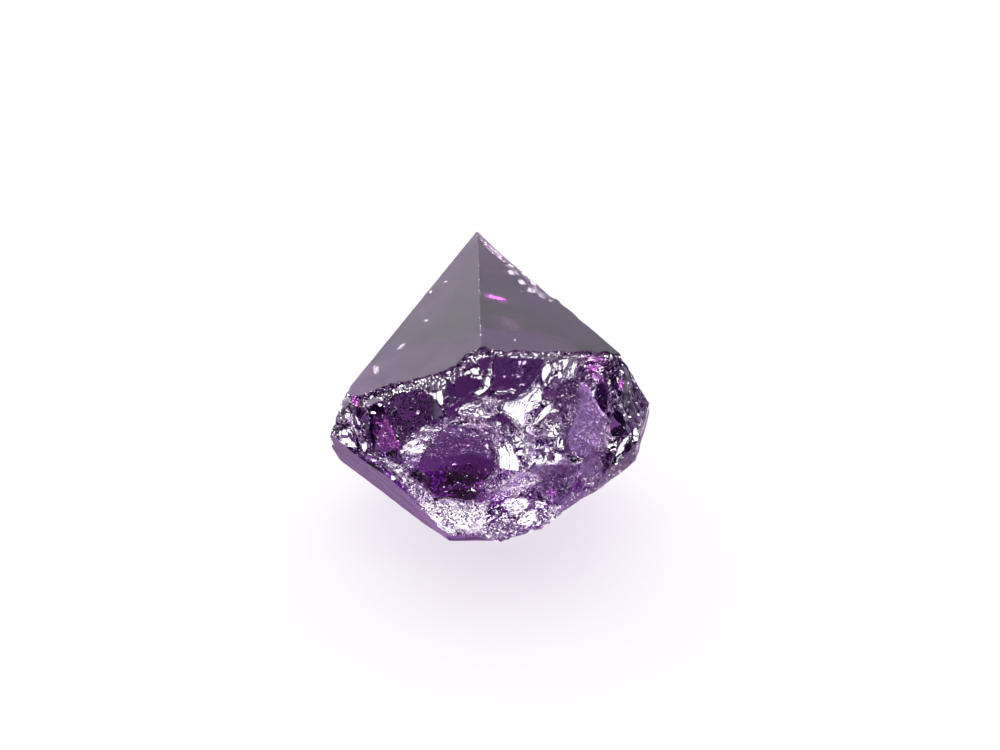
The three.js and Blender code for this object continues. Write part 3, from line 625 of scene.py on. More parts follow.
def grid_solid(name, top, back):
    """A closed body between two grids of points, n x m x 3 each, the top one facing out."""
    n, m = top.shape[:2]
    verts = np.concatenate([top.reshape(-1, 3), back.reshape(-1, 3)])
    idx = np.arange(n * m).reshape(n, m)
    q = np.stack([idx[:-1, :-1], idx[1:, :-1], idx[1:, 1:], idx[:-1, 1:]], -1).reshape(-1, 4)
    k = n * m
    faces = [q, q[:, ::-1] + k]
    for line in (idx[:, 0], idx[-1, :], idx[::-1, -1], idx[0, ::-1]):
        a, b = line[:-1], line[1:]
        faces.append(np.stack([b, a, a + k, b + k], -1))
    f = np.concatenate(faces)
    tri = np.concatenate([f[:, [0, 1, 2]], f[:, [0, 2, 3]]])
    me = bpy.data.meshes.new(name)
    me.vertices.add(len(verts))
    me.vertices.foreach_set("co", verts.ravel())
    me.loops.add(len(tri) * 3)
    me.loops.foreach_set("vertex_index", tri.ravel().astype(np.int32))
    me.polygons.add(len(tri))
    me.polygons.foreach_set("loop_start", np.arange(0, len(tri) * 3, 3, dtype=np.int32))
    me.update(calc_edges=True)
    me.validate()
    ob = bpy.data.objects.new(name, me)
    bpy.context.scene.collection.objects.link(ob)
    return ob


def polyhedron(name, planes):
    """The convex body inside a list of planes, each (normal, distance)."""
    ns = np.array([p[0] for p in planes], float)
    ln = np.linalg.norm(ns, axis=1)
    ns, ds = ns / ln[:, None], np.array([p[1] for p in planes]) / ln
    pts, on = [], []
    n = len(planes)
    for i in range(n):
        for j in range(i + 1, n):
            for k in range(j + 1, n):
                m = ns[[i, j, k]]
                if abs(np.linalg.det(m)) < 1e-6:
                    continue
                p = np.linalg.solve(m, ds[[i, j, k]])
                if (ns @ p - ds).max() < 1e-6 and not any(np.linalg.norm(p - q) < 1e-4 for q in pts):
                    pts.append(p)
    pts = np.array(pts)
    faces = []
    for i in range(n):
        ids = [v for v in range(len(pts)) if abs(ns[i] @ pts[v] - ds[i]) < 1e-4]
        if len(ids) < 3:
            continue
        c = pts[ids].mean(0)
        e1 = pts[ids[0]] - c
        e1 -= ns[i] * (e1 @ ns[i])
        e1 /= np.linalg.norm(e1)
        e2 = np.cross(ns[i], e1)
        ids.sort(key=lambda v: math.atan2((pts[v] - c) @ e2, (pts[v] - c) @ e1))
        faces.append(ids)
    return make_object(name, pts, faces)


def boolean(ob, other, op):
    mod = ob.modifiers.new("b", "BOOLEAN")
    mod.operation, mod.object, mod.solver = op, other, SOLVER
    dg = bpy.context.evaluated_depsgraph_get()
    me = bpy.data.meshes.new_from_object(ob.evaluated_get(dg))
    ob.modifiers.clear()
    old = ob.data
    ob.data = me
    bpy.data.meshes.remove(old)
    gone = other.data
    bpy.data.objects.remove(other)
    bpy.data.meshes.remove(gone)


SOLVER = "MANIFOLD"

def pebble(centre, axes, radii, seed, rough=.12, fine=2):
    """A small uneven blob as vertices and faces, for cutting chips and flaws."""
    import bmesh
    bm = bmesh.new()
    bmesh.ops.create_icosphere(bm, subdivisions=fine, radius=1)
    v = np.array([q.co for q in bm.verts])
    f = [[w.index for w in q.verts] for q in bm.faces]
    bm.free()
    r = np.random.RandomState(seed)
    k = r.normal(size=(6, 3)) * 2.2
    ph = r.uniform(0, 6.28, 6)
    v = v * (1 + rough * np.sin(v @ k.T + ph).mean(1)[:, None] * 2)
    return centre + (v * np.array(radii)) @ np.array(axes), f


def cut_blobs(blobs):
    if not blobs:
        return
    vs, fs, n = [], [], 0
    for v, f in blobs:
        vs.append(v)
        fs += [[i + n for i in q] for q in f]
        n += len(v)
    ob = make_object("blobs", np.concatenate(vs), fs)
    boolean(stone, ob, "DIFFERENCE")


def frame_along(run, out):
    run = run / np.linalg.norm(run)
    out = out - run * (out @ run)
    out = out / np.linalg.norm(out)
    return np.array([run, np.cross(out, run), out])


def unit(v):
    v = np.array(v, float)
    return v / np.linalg.norm(v)


TIP, SHOULDER = np.array([-1.3, 11.57, 13.74]), np.array([6.9, 1.37, 12.04])

# the natural faces and the smooth facets first, then the break and the rough facets cut into them
stone = polyhedron("stone_raw", NATURAL + SMOOTH + [((n[0], n[1], n[2]), d) for n, d in BROKEN])
# nicks and worn places along the edges between the natural faces
def edge_between(p, q, near):
    n1, n2 = unit(p[0]), unit(q[0])
    d1, d2 = p[1] / np.linalg.norm(p[0]), q[1] / np.linalg.norm(q[0])
    run = unit(np.cross(n1, n2))
    at = np.linalg.lstsq(np.array([n1, n2, run]), np.array([d1, d2, run @ np.array(near)]), rcond=None)[0]
    return at, run, unit(n1 + n2)


nick_rng = np.random.RandomState(31)
for p, q, near, lo_, hi_, count, big in (
        (TOP_LEFT, TOP_RIGHT, TIP, -7, 7, 44, .07), (TOP_LEFT, SIDE_LEFT, (-5, 7, 10), -8, 8, 26, .12),
        (TOP_RIGHT, SIDE_RIGHT, (4, 5, 12), -6, 8, 30, .16), (SIDE_RIGHT, BACK_RIGHT, (6, 8, 5), -7, 7, 22, .14),
        (SIDE_LEFT, BACK_LEFT, (-6, 8, 5), -7, 7, 22, .14), (BACK_RIGHT, BACK_LEFT, (0, 9.5, 5), -7, 7, 22, .14),
        (BACK_LEFT, UNDER_LEFT, (-3, 6, 1), -7, 7, 16, .14), (BACK_RIGHT, UNDER_RIGHT, (4, 6, 1), -7, 7, 16, .14),
        (SIDE_LEFT, UNDER_LEFT, (-7, 4, 3), -6, 6, 14, .14), (SIDE_RIGHT, UNDER_RIGHT, (8, 4, 4), -6, 6, 14, .14)):
    at, run, out_ = edge_between(p, q, near)
    for _ in range(count):
        c = at + run * nick_rng.uniform(lo_, hi_)
        w = big * nick_rng.uniform(.25, 1) ** 1.5
        r = (w * nick_rng.uniform(1, 2.6), w, w * .8)
        cut_blobs([pebble(c + out_ * r[2] * nick_rng.uniform(.25, .7), frame_along(run, out_), r,
                          nick_rng.randint(9999), .2, 1)])
# the blunt tip
cut_blobs([pebble(TIP + np.array([0, .02, .12]), np.eye(3), (.5, .34, .2), 5, .12, 2)])

stone_break = grid_solid("break_cut", break_point(A, B, H), break_point(A, B, np.full_like(H, -22.0)))
boolean(stone, stone_break, "INTERSECT")


def relief(plane, size, cell, deep, seed, gap=1.1, rough=1.0):
    """Cuts shallow shell-like scoops and ripples into one of the outer broken facets."""
    n = np.array(plane[0]) / np.linalg.norm(plane[0])
    d = plane[1] / np.linalg.norm(plane[0])
    e1 = np.cross([0.0, 0.0, 1.0], n)
    e1 /= np.linalg.norm(e1)
    e2 = np.cross(n, e1)
    mid = np.array([-0.5, 3.0, 7.0])
    o = mid + n * (d - mid @ n)
    k = int(size / cell) + 1
    g = np.linspace(-size / 2, size / 2, k)
    x, y = np.meshgrid(g, g, indexing="ij")
    r = np.random.RandomState(seed)
    cut = np.zeros_like(x)
    for _ in range(int(size * size / 5)):
        cx, cy = r.uniform(-size / 2, size / 2, 2)
        w = r.uniform(.7, 2.0)
        q = ((x - cx) ** 2 + (y - cy) ** 2) / (w * w)
        bowl = deep * r.uniform(.3, 1) * (1 - q)
        rip = .02 * ridge(np.hypot(x - cx - w, y - cy) / (.25 * gap), .3)
        cut = np.where(bowl > cut, bowl + rip * np.clip(bowl / .05, 0, 1), cut)
    cut = np.maximum(cut + .02 * (1 + fbm(x * 2, y * 2, seed, 3)) + rough * .07 * (.5 + shards(x / .33, y / .55, seed, .7, .3)), 0.001)
    if rough > 1:
        cut = cut + np.maximum(0, .13 + .3 * shards(x / .75, y / 1.1, seed + 9, .9, .7) + .1 * shards(x / .3, y / .5, seed + 12, 1.2, .6))
    top = o + x[..., None] * e1 + y[..., None] * e2 - cut[..., None] * n
    back = o + x[..., None] * e1 + y[..., None] * e2 - 40 * n
    ob = grid_solid("relief", top, back)
    boolean(stone, ob, "INTERSECT")


for seed, p in enumerate(BROKEN):
    relief(p, 22, .12 if p in (BREAK_RIGHT, BREAK_LEFT) else .16, .2, 40 + seed, rough=1.3 if p in (BREAK_RIGHT, BREAK_LEFT) else 1.0)


def striate(plane, along_dir, size, cell, high, gap, seed):
    """Fine lines and a slight waviness on one of the smooth facets, running along a direction."""
    n = np.array(plane[0]) / np.linalg.norm(plane[0])
    d = plane[1] / np.linalg.norm(plane[0])
    e1 = np.array(along_dir, float)
    e1 -= n * (e1 @ n)
    e1 /= np.linalg.norm(e1)
    e2 = np.cross(n, e1)
    mid = np.array([-0.5, 3.0, 7.0])
    o = mid + n * (d - mid @ n)
    gx, gy = np.arange(-size / 2, size / 2, cell * 3), np.arange(-size / 2, size / 2, cell)
    x, y = np.meshgrid(gx, gy, indexing="ij")
    w = y / gap + .5 * fbm(x * .35, y * .8, seed, 2)
    wave = ridge(w, .4) if plane is PARTING else np.sin(2 * math.pi * w)
    cut = high * (1 + wave * (.4 + .6 * np.clip(.5 + fbm(x * .5, y * 2.5, seed + 2, 2), 0, 1.4)))
    cut = cut + high * 1.5 * (1 + fbm(x * .25, y * 1.1, seed + 4, 2)) + .001
    # growth hillocks: low broad bumps with flat sides
    cut = cut + high * 2.5 * (1.2 + shards(x / 2.6, y / 1.7, seed + 6, .9, .5, .9))
    if not high:
        cut = .009 * (1.6 + fbm(x * .42, y * .42, seed + 8, 2))
    cut = np.maximum(cut, .001)
    top = o + x[..., None] * e1 + y[..., None] * e2 - cut[..., None] * n
    ob = grid_solid("striae", top, o + x[..., None] * e1 + y[..., None] * e2 - 40 * n)
    boolean(stone, ob, "INTERSECT")


C_AXIS = (-.09, .783, .616)


def across_c(plane):
    return np.cross(plane[0], C_AXIS)


striate(PARTING, (5.9, -.9, -5.1), 26, .09, .009, .31, 70)
for seed, (p, high, gap) in enumerate(((TOP_LEFT, 0, 1), (TOP_RIGHT, 0, 1), (SIDE_RIGHT, .004, .7),
                                       (SIDE_LEFT, .006, .62), (BACK_RIGHT, .011, .62), (BACK_LEFT, .012, .58),
                                       (UNDER_RIGHT, .01, .5), (UNDER_LEFT, .01, .45))):
    striate(p, across_c(p), 26, .11, high, gap, 80 + seed)


def inside_stone(p, gap):
    ok = np.ones(len(p), bool)
    for n, d in NATURAL + SMOOTH + BROKEN:
        ln = np.linalg.norm(n)
        ok &= p @ (np.array(n) / ln) < d / ln - gap
    return ok


def inside_planes(p, gap):
    return bool(inside_stone(np.array([p]), gap)[0])


# chips along the edge between the right top face and the right side face
edge_out = unit(unit(TOP_RIGHT[0]) + unit(SIDE_RIGHT[0]))
ax = frame_along(SHOULDER - TIP, edge_out)
for t, r, bite in ((.2, (3.4, 1.5, 1.2), .34), (.44, (1.5, 1.2, 1.1), .42), (.1, (.8, .6, .5), .26), (.155, (.6, .55, .5), .4),
                   (.24, (.7, .6, .5), .52), (.33, (.8, .7, .55), .5), (.395, (.6, .5, .5), .46), (.5, (.7, .5, .45), .42), (.6, (.5, .3, .3), .14), (.72, (.6, .3, .3), .13)):
    cut_blobs([pebble(TIP + (SHOULDER - TIP) * t + edge_out * (r[2] - bite), ax, r, int(t * 1000), .09, 4 if r[0] > 1 else 3)])

# ------------------------------------------------------------------ cracks sealed in the stone
def refract(d, n, ratio):
    c = -float(np.dot(n, d))
    k = 1 - ratio * ratio * (1 - c * c)
    return None if k < 0 else ratio * d + (ratio * c - math.sqrt(k)) * n


def crack(at, facing, radii, seed, thick=.012):
    """A thin uneven lens-shaped gap at a point, as a blob."""
    n = unit(facing)
    e = np.cross(n, [.3, .2, .9])
    e /= np.linalg.norm(e)
    t = np.random.RandomState(seed).uniform(0, 3.14)
    e1 = e * math.cos(t) + np.cross(n, e) * math.sin(t)
    v, f = pebble(np.zeros(3), np.array([e1, np.cross(n, e1), n]), (radii[0], radii[1], thick), seed, .28, 3 if max(radii[:2]) > .3 else 2)
    q = v @ n
    bow = (v @ e1) ** 2 / (radii[0] * 5)
    v = v - bow[:, None] * n
    return np.array(at) + v, f


SEEN = np.array([0.0, C, -S])           # the way one looks at the break
TOWARDS = -SEEN


def under_face(px, depth, face, toward=(0.0, .15, 1.0)):
    """Where a crack depth mm under a top face has to lie to show at a place in the front view, and how it has to
    face to catch the light from above."""
    n, d = np.array(face[0]), face[1]
    ln = np.linalg.norm(n)
    n, d = n / ln, d / ln
    u, v = px
    # a point on the face that shows at u, v
    lo_, hi_ = -30.0, 40.0
    for _ in range(60):
        h = (lo_ + hi_) / 2
        a, b = u * (EYE - h) / REACH, EYE_B + (v - 9.54) * (EYE - h) / REACH
        p = a * AX + b * UP + h * OUT
        if p @ n > d:
            hi_ = h
        else:
            lo_ = h
    inner = refract(SEEN, n, 1 / 1.544)
    light = refract(-unit(toward), n, 1 / 1.544)
    return p + inner * depth / abs(inner @ n), unit(-inner - light)


cracks = []
for (px, depth, radii, face, seed) in (
        ((-0.06, 13.99), .8, (.22, .07), TOP_RIGHT, 1),
        ((0, 16.61), .6, (.42, .2), TOP_RIGHT, 3), ((-0.29, 16.95), .5, (.3, .14), TOP_RIGHT, 4),
        ((0.75, 15.46), .6, (.5, .22), TOP_RIGHT, 5), ((1.21, 14.94), .6, (.36, .2), TOP_RIGHT, 6),
        ((1.78, 14.48), .6, (.4, .22), TOP_RIGHT, 7), ((2.36, 14.2), .5, (.4, .18), TOP_RIGHT, 8),
        ((0.52, 15.8), .5, (.35, .1), TOP_RIGHT, 9),
        ((-3.1, 14.94), .5, (.22, .07), TOP_LEFT, 11), ((-4.25, 12.7), .5, (.25, .07), TOP_LEFT, 12),
        ((-3.97, 14.37), .25, (.2, .1), TOP_LEFT, 13), ((-5.63, 11.26), .8, (.5, .12), TOP_LEFT, 14),
        ((-7.13, 9.94), .9, (.6, .16), TOP_LEFT, 15), ((2.93, 13.85), .3, (.2, .08), TOP_RIGHT, 16)):
    at, facing = under_face(px, depth, face)
    if inside_planes(at, .12):
        cracks.append(crack(at, facing, radii, seed))
    else:
        print("CRACK outside", px)



def behind_break(px, depth):
    """A point depth mm behind the break where it shows at a place in the front view."""
    k = np.argmin((U[:, :nb] - px[0]) ** 2 + (V[:, :nb] - px[1]) ** 2)
    i, j = np.unravel_index(k, (na, nb))
    inner = unit((0, .93, -.37))
    return break_point(A[i, j], B[i, j], H[i, j]) + inner * depth


for k, (px, depth, size) in enumerate((
        ((-3.97, 4.9), .5, .14), ((-2.61, 4.44), .7, .16), ((-3.45, 3.97), .6, .09), ((-1.95, 3.62), .8, .1),
        ((2.9, 2.87), .4, .16), ((2.93, 2.47), .5, .12), ((5.17, 10.4), .4, .2), ((5.57, 9.77), .5, .26), ((5.92, 10.17), .4, .16),
        ((5.06, 9.43), .6, .2), ((5.4, 9.2), .5, .18), ((-8.39, 8.28), .35, .2), ((-8.33, 7.82), .35, .16), ((-7.36, 7.41), .4, .16),
        ((-6.55, 6.09), .7, .3), ((-6.26, 5.69), .6, .25), ((-7.01, 5.46), .8, .2), ((6.55, 8.56), .4, .12), ((7.18, 4.77), .3, .2),
        ((-1.15, 0.63), .4, .2), ((-0.17, 0.8), .4, .25), ((0.29, 0.52), .4, .18), ((3.62, 2.01), .3, .2), ((4.31, 4.94), .5, .2),
        ((-4.6, 1.21), .5, .2), ((-5.75, 3.51), .5, .15), ((1.72, 5.52), .6, .15), ((-1.72, 5.52), 1.2, .2), ((1.15, 9.94), 1.4, .25))):
    p = behind_break(px, depth)
    if inside_planes(p, .15 + size * .5):
        jig = np.random.RandomState(200 + k).uniform(-.12, .12, 3)
        cracks.append(crack(p, np.array([0, -.50, .86]) + jig, (size, size * .55), 300 + k, .01))
# healed fractures and small gaps scattered behind the glassy facets
taken = [c[0].mean(0) for c in cracks]
vr = np.random.RandomState(77)


def scatter_cracks(points, count, deep, size, seed):
    p = np.array(points)
    for k in range(count):
        for _ in range(30):
            q = (vr.uniform(p[:, 0].min(), p[:, 0].max()), vr.uniform(p[:, 1].min(), p[:, 1].max()))
            inside = False
            for (x0, y0), (x1, y1) in zip(p, np.roll(p, -1, 0)):
                if (y0 > q[1]) != (y1 > q[1]) and q[0] < (x1 - x0) * (q[1] - y0) / (y1 - y0) + x0:
                    inside = not inside
            w = vr.uniform(*size)
            at = behind_break(q, w * 1.1 + vr.uniform(.1, deep)) if inside else None
            if at is not None and inside_planes(at, .15 + w) and all(np.linalg.norm(at - t) > 1.3 * w + .4 for t in taken):
                taken.append(at)
                way = unit(np.array([0, -.50, .86]) + vr.normal(size=3) * .35)
                cracks.append(crack(at, way, (w, w * vr.uniform(.3, .8)), seed + k, .008))
                break




def veil(px, depth, leave, up, radii, seed, wave=.016):
    """A larger wavy healed fracture behind the break that sends the view out of the stone along a direction."""
    at = behind_break(px, depth)
    inner = unit((0, .93, -.37))
    n = unit(unit(leave) - inner)
    e1 = unit(np.array(up) - n * (np.array(up) @ n))
    v_, f_ = pebble(np.zeros(3), np.array([e1, np.cross(n, e1), n]), (radii[0], radii[1], .012), seed, .2, 4)
    p, q = v_ @ e1, v_ @ np.cross(n, e1)
    v_ = v_ + (wave * (fbm(p * 1.3, q * 1.3, seed, 3) + .5 * p * p / radii[0]))[:, None] * n
    v_ = at + v_
    if inside_stone(v_, .12).all():
        taken.append(at)
        cracks.append((v_, f_))
    else:
        print("VEIL outside", px)


veil((5.29, 6.67), 1.5, (.8, .5, .3), (0, .2, 1), (1.7, 1.45), 900)
veil((3.45, 3.68), 1.3, (.75, .6, .15), (0, .2, 1), (.7, 1.1), 901)
veil((5.23, 3.97), .8, (.8, .5, .1), (0, .2, 1), (.4, .5), 903)
scatter_cracks(BOWL, 26, 2.4, (.07, .22), 400)
scatter_cracks(SCOOP, 12, 2.0, (.06, .2), 440)
scatter_cracks(WINDOW, 9, 2.6, (.08, .2), 460)
scatter_cracks(DARK_L, 8, 2.0, (.06, .2), 480)
scatter_cracks(OVAL, 8, 1.2, (.08, .22), 500)
scatter_cracks(BOWL2, 8, 1.5, (.06, .18), 520)
cut_blobs(cracks)


co = np.zeros(len(stone.data.vertices) * 3)
stone.data.vertices.foreach_get("co", co)
co = co.reshape(-1, 3)
print("STONE", len(co), "verts", len(stone.data.polygons), "faces", co.min(0), co.max(0))

# ------------------------------------------------------------------ marking the faces
me = stone.data
nf = len(me.polygons)
centre, normal = np.zeros(nf * 3), np.zeros(nf * 3)
me.polygons.foreach_get("center", centre)
me.polygons.foreach_get("normal", normal)
centre, normal = centre.reshape(-1, 3), normal.reshape(-1, 3)
natural = np.zeros(nf, bool)
flat = np.zeros(nf, bool)
for group, flag in ((NATURAL, natural), (SMOOTH, flat)):
    for n, d in group:
        ln = np.linalg.norm(n)
        n = np.array(n) / ln
        flag |= (abs(centre @ n - d / ln) < .12) & (normal @ n > .985)
fa, fb = centre[:, 0], centre @ UP
ia = np.clip((fa - A0) / GRID, 0, na - 2)
ib = np.clip((fb - B0) / GRID, 0, nb - 2)
frost = FROST[ia.astype(int), ib.astype(int)]
frost = np.where(natural | flat, 0, frost)
edge_at = TIP + (SHOULDER - TIP) * np.clip((centre - TIP) @ unit(SHOULDER - TIP) / np.linalg.norm(SHOULDER - TIP), 0, .75)[:, None]
chipped = (np.linalg.norm(centre - edge_at, axis=1) < .8) & ~natural & ~flat
frost = np.where(chipped, .8, frost)
for name, val in (("growth", natural.astype(float)), ("frost", frost), ("parting", flat.astype(float))):
    at = me.attributes.new(name, "FLOAT", "FACE")
    at.data.foreach_set("value", val.astype(np.float32))

# for seating the splinters on the finished surface
surface = BVHTree.FromPolygons(co.tolist(), [tuple(q.vertices) for q in me.polygons])

# millimetres to the part's frame
co = mm_to_frame(co)
me.vertices.foreach_set("co", co.ravel())
me.update()
me.polygons.foreach_set("use_smooth", np.ones(nf, bool))
me.set_sharp_from_angle(angle=math.radians(32))

# ------------------------------------------------------------------ material
def amethyst_material():
    m = bpy.data.materials.new("amethyst")
    m.use_nodes = True
    nt = m.node_tree
    nt.nodes.clear()
    N, L = nt.nodes, nt.links
    out = N.new("ShaderNodeOutputMaterial")
    p = N.new("ShaderNodeBsdfPrincipled")
    p.inputs["Transmission Weight"].default_value = 1.0
    p.inputs["IOR"].default_value = 1.544
    p.inputs["Base Color"].default_value = (.97, .95, .98, 1)
    L.new(p.outputs[0], out.inputs["Surface"])
    vol = N.new("ShaderNodeVolumeAbsorption")
    vol.inputs["Color"].default_value = (.55, .30, .62, 1)
    vol.inputs["Density"].default_value = 430.0
    L.new(vol.outputs[0], out.inputs["Volume"])
    grow, fro = N.new("ShaderNodeAttribute"), N.new("ShaderNodeAttribute")
    grow.attribute_name, fro.attribute_name = "growth", "frost"
    geo = N.new("ShaderNodeTexCoord")

    def math_node(op, a, b, clamp=False):
        q = N.new("ShaderNodeMath")
        q.operation, q.use_clamp = op, clamp
        for i, v in enumerate((a, b)):
            if hasattr(v, "links"):
                L.new(v, q.inputs[i])
            else:
                q.inputs[i].default_value = v
        return q.outputs[0]

    # roughness: glassy break, satin natural faces, dull crushed places
    r = math_node("MULTIPLY", grow.outputs["Fac"], .13)
    r = math_node("ADD", r, .03)
    r2 = math_node("MULTIPLY", fro.outputs["Fac"], .25)
    r = math_node("ADD", r, r2)
    L.new(r, p.inputs["Roughness"])
    # fine relief
    nz = N.new("ShaderNodeTexNoise")
    nz.inputs["Scale"].default_value = 2600
    nz.inputs["Detail"].default_value = 3
    L.new(geo.outputs["Object"], nz.inputs["Vector"])
    bump = N.new("ShaderNodeBump")
    bump.inputs["Distance"].default_value = .00002
    L.new(math_node("SUBTRACT", .35, math_node("MULTIPLY", grow.outputs["Fac"], .35)), bump.inputs["Strength"])
    L.new(nz.outputs["Fac"], bump.inputs["Height"])
    L.new(bump.outputs[0], p.inputs["Normal"])
    return m


stone.data.materials.clear()
stone.data.materials.append(amethyst_material())
stone.name = "amethyst"
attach(stone, "root")
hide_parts("amethyst_crystal")

# ------------------------------------------------------------------ crushed skin, veils and dust, and flecks that paint shade, glints and a pink reflection
def flake_mesh(name, at, size, seed, thin=.35, material=None, lean=None):
    """Many small closed splinters at the given points, each an uneven tetrahedron. Positions in millimetres."""
    r = np.random.RandomState(seed)
    n = len(at)
    base = np.array([[1, 1, 1], [1, -1, -1], [-1, 1, -1], [-1, -1, 1]], float) / 1.4
    v = base[None] * (1 + .35 * r.normal(size=(n, 4, 1)))
    v[:, :, 2] *= thin
    q = r.normal(size=(n, 4))
    q /= np.linalg.norm(q, axis=1, keepdims=True)
    w, x, y, z = q.T
    R = np.stack([1 - 2 * (y * y + z * z), 2 * (x * y - z * w), 2 * (x * z + y * w),
                  2 * (x * y + z * w), 1 - 2 * (x * x + z * z), 2 * (y * z - x * w),
                  2 * (x * z - y * w), 2 * (y * z + x * w), 1 - 2 * (x * x + y * y)], 1).reshape(n, 3, 3)
    v = np.einsum("nij,nkj->nki", R, v) * np.asarray(size)[:, None, None] + at[:, None, :]
    f = np.array([[0, 1, 2], [0, 3, 1], [0, 2, 3], [1, 3, 2]])
    e = v[:, 1:] - v[:, :1]
    flip = np.einsum("ni,ni->n", np.cross(e[:, 0], e[:, 1]), e[:, 2]) > 0
    ff = np.where(flip[:, None, None], f[:, ::-1][None], f[None]) + 4 * np.arange(n)[:, None, None]
    ob = make_object(name, mm_to_frame(v.reshape(-1, 3)), ff.reshape(-1, 3).tolist())
    if material:
        ob.data.materials.append(material)
    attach(ob, "root")
    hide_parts("amethyst_crystal")
    small_pieces.append(ob)
    return ob


small_pieces = []


def splinter_material(name, colour, rough, specular):
    m = bpy.data.materials.new(name)
    m.use_nodes = True
    nt = m.node_tree
    p = nt.nodes["Principled BSDF"]
    p.inputs["Roughness"].default_value = rough
    p.inputs["IOR"].default_value = 1.544
    p.inputs["Specular IOR Level"].default_value = specular
    nz = nt.nodes.new("ShaderNodeTexNoise")
    nz.inputs["Scale"].default_value = 1800
    nz.inputs["Detail"].default_value = 2
    tc_ = nt.nodes.new("ShaderNodeTexCoord")
    nt.links.new(tc_.outputs["Object"], nz.inputs["Vector"])
    ramp = nt.nodes.new("ShaderNodeValToRGB")
    ramp.color_ramp.elements[0].position, ramp.color_ramp.elements[1].position = .35, .65
    ramp.color_ramp.elements[0].color = (*[c * .72 for c in colour], 1)
    ramp.color_ramp.elements[1].color = (*colour, 1)
    nt.links.new(nz.outputs["Fac"], ramp.inputs[0])
    nt.links.new(ramp.outputs[0], p.inputs["Base Color"])
    return m


def on_break(points, count, seed, sink=0.0, edge=.08, avoid=None):
    """Random places on the break inside a polygon, pushed sink below its surface."""
    d = polygon(points)
    if avoid:
        d = np.minimum(d, -polygon(avoid))
    r = np.random.RandomState(seed)
    ok = np.argwhere((d > 0) & (H < old_top(A, B) - .02))
    if not len(ok):
        return np.zeros((0, 3))
    # where the surface stands steep to the view it is longer than it looks, so it gets more
    gx, gy = np.gradient(H[:, :nb], GRID)
    w = np.sqrt(1 + np.clip(gx ** 2 + gy ** 2, 0, 12))
    w = w[ok[:, 0].clip(0, na - 1), ok[:, 1].clip(0, nb - 1)]
    w = w * np.clip(d[ok[:, 0], ok[:, 1]] / edge, .15, 1)
    pick = ok[r.choice(len(ok), count, p=w / w.sum())]
    i, j = pick[:, 0], pick[:, 1].clip(0, nb - 2)
    fa_, fb__ = r.uniform(0, 1, count), r.uniform(0, 1, count)
    i2 = (i + 1).clip(0, na - 1)
    a = A[i, j] * (1 - fa_) + A[i2, j] * fa_
    b = B[i, j] * (1 - fb__) + B[i, j + 1] * fb__
    h = (H[i, j] * (1 - fa_) + H[i2, j] * fa_) * (1 - fb__) + H[i, j + 1] * fb__
    slope = np.sqrt(1 + gx[i, j] ** 2 + gy[i, j] ** 2)
    return break_point(a, b, h - np.asarray(sink) * np.minimum(slope, 2.5))


white = splinter_material("crushed_quartz", (.95, .90, .96), .22, .6)
milky = splinter_material("veil_flecks", (.97, .93, .98), .5, 0)
CRUSHED = [(-7.47, 5.11), (-7.07, 4.89), (-6.32, 4.6), (-5.52, 4.25), (-5.23, 3.62), (-4.31, 2.99), (-3.79, 2.41), (-3.1, 2.41), (-1.72, 2.18), (-0.57, 2.3), (-0.8, 1.21), (-1.26, 0.4), (-2.59, 0.29), (-4.02, 0.63), (-4.31, 1.55), (-5.06, 2.64), (-5.98, 3.79)]
r = np.random.RandomState(5)


def skin(name, spots, lo, hi, seed, thin, material, sealed=False):
    """Splinters seated on the surface, or sealed under it."""
    at = np.concatenate(spots)
    size = lo + (hi - lo) * np.random.RandomState(seed).uniform(0, 1, len(at)) ** 2
    keep = np.zeros(len(at), bool)
    for k in range(len(at)):
        p, n, _, d = surface.find_nearest(at[k].tolist())
        if sealed:
            keep[k] = (Vector(at[k].tolist()) - p).dot(n) < -.6 * size[k]
        elif d < .35:
            at[k] = np.array(p) - np.array(n) * size[k] * .15
            keep[k] = True
    return flake_mesh(name, at[keep], size[keep], seed, thin, material)


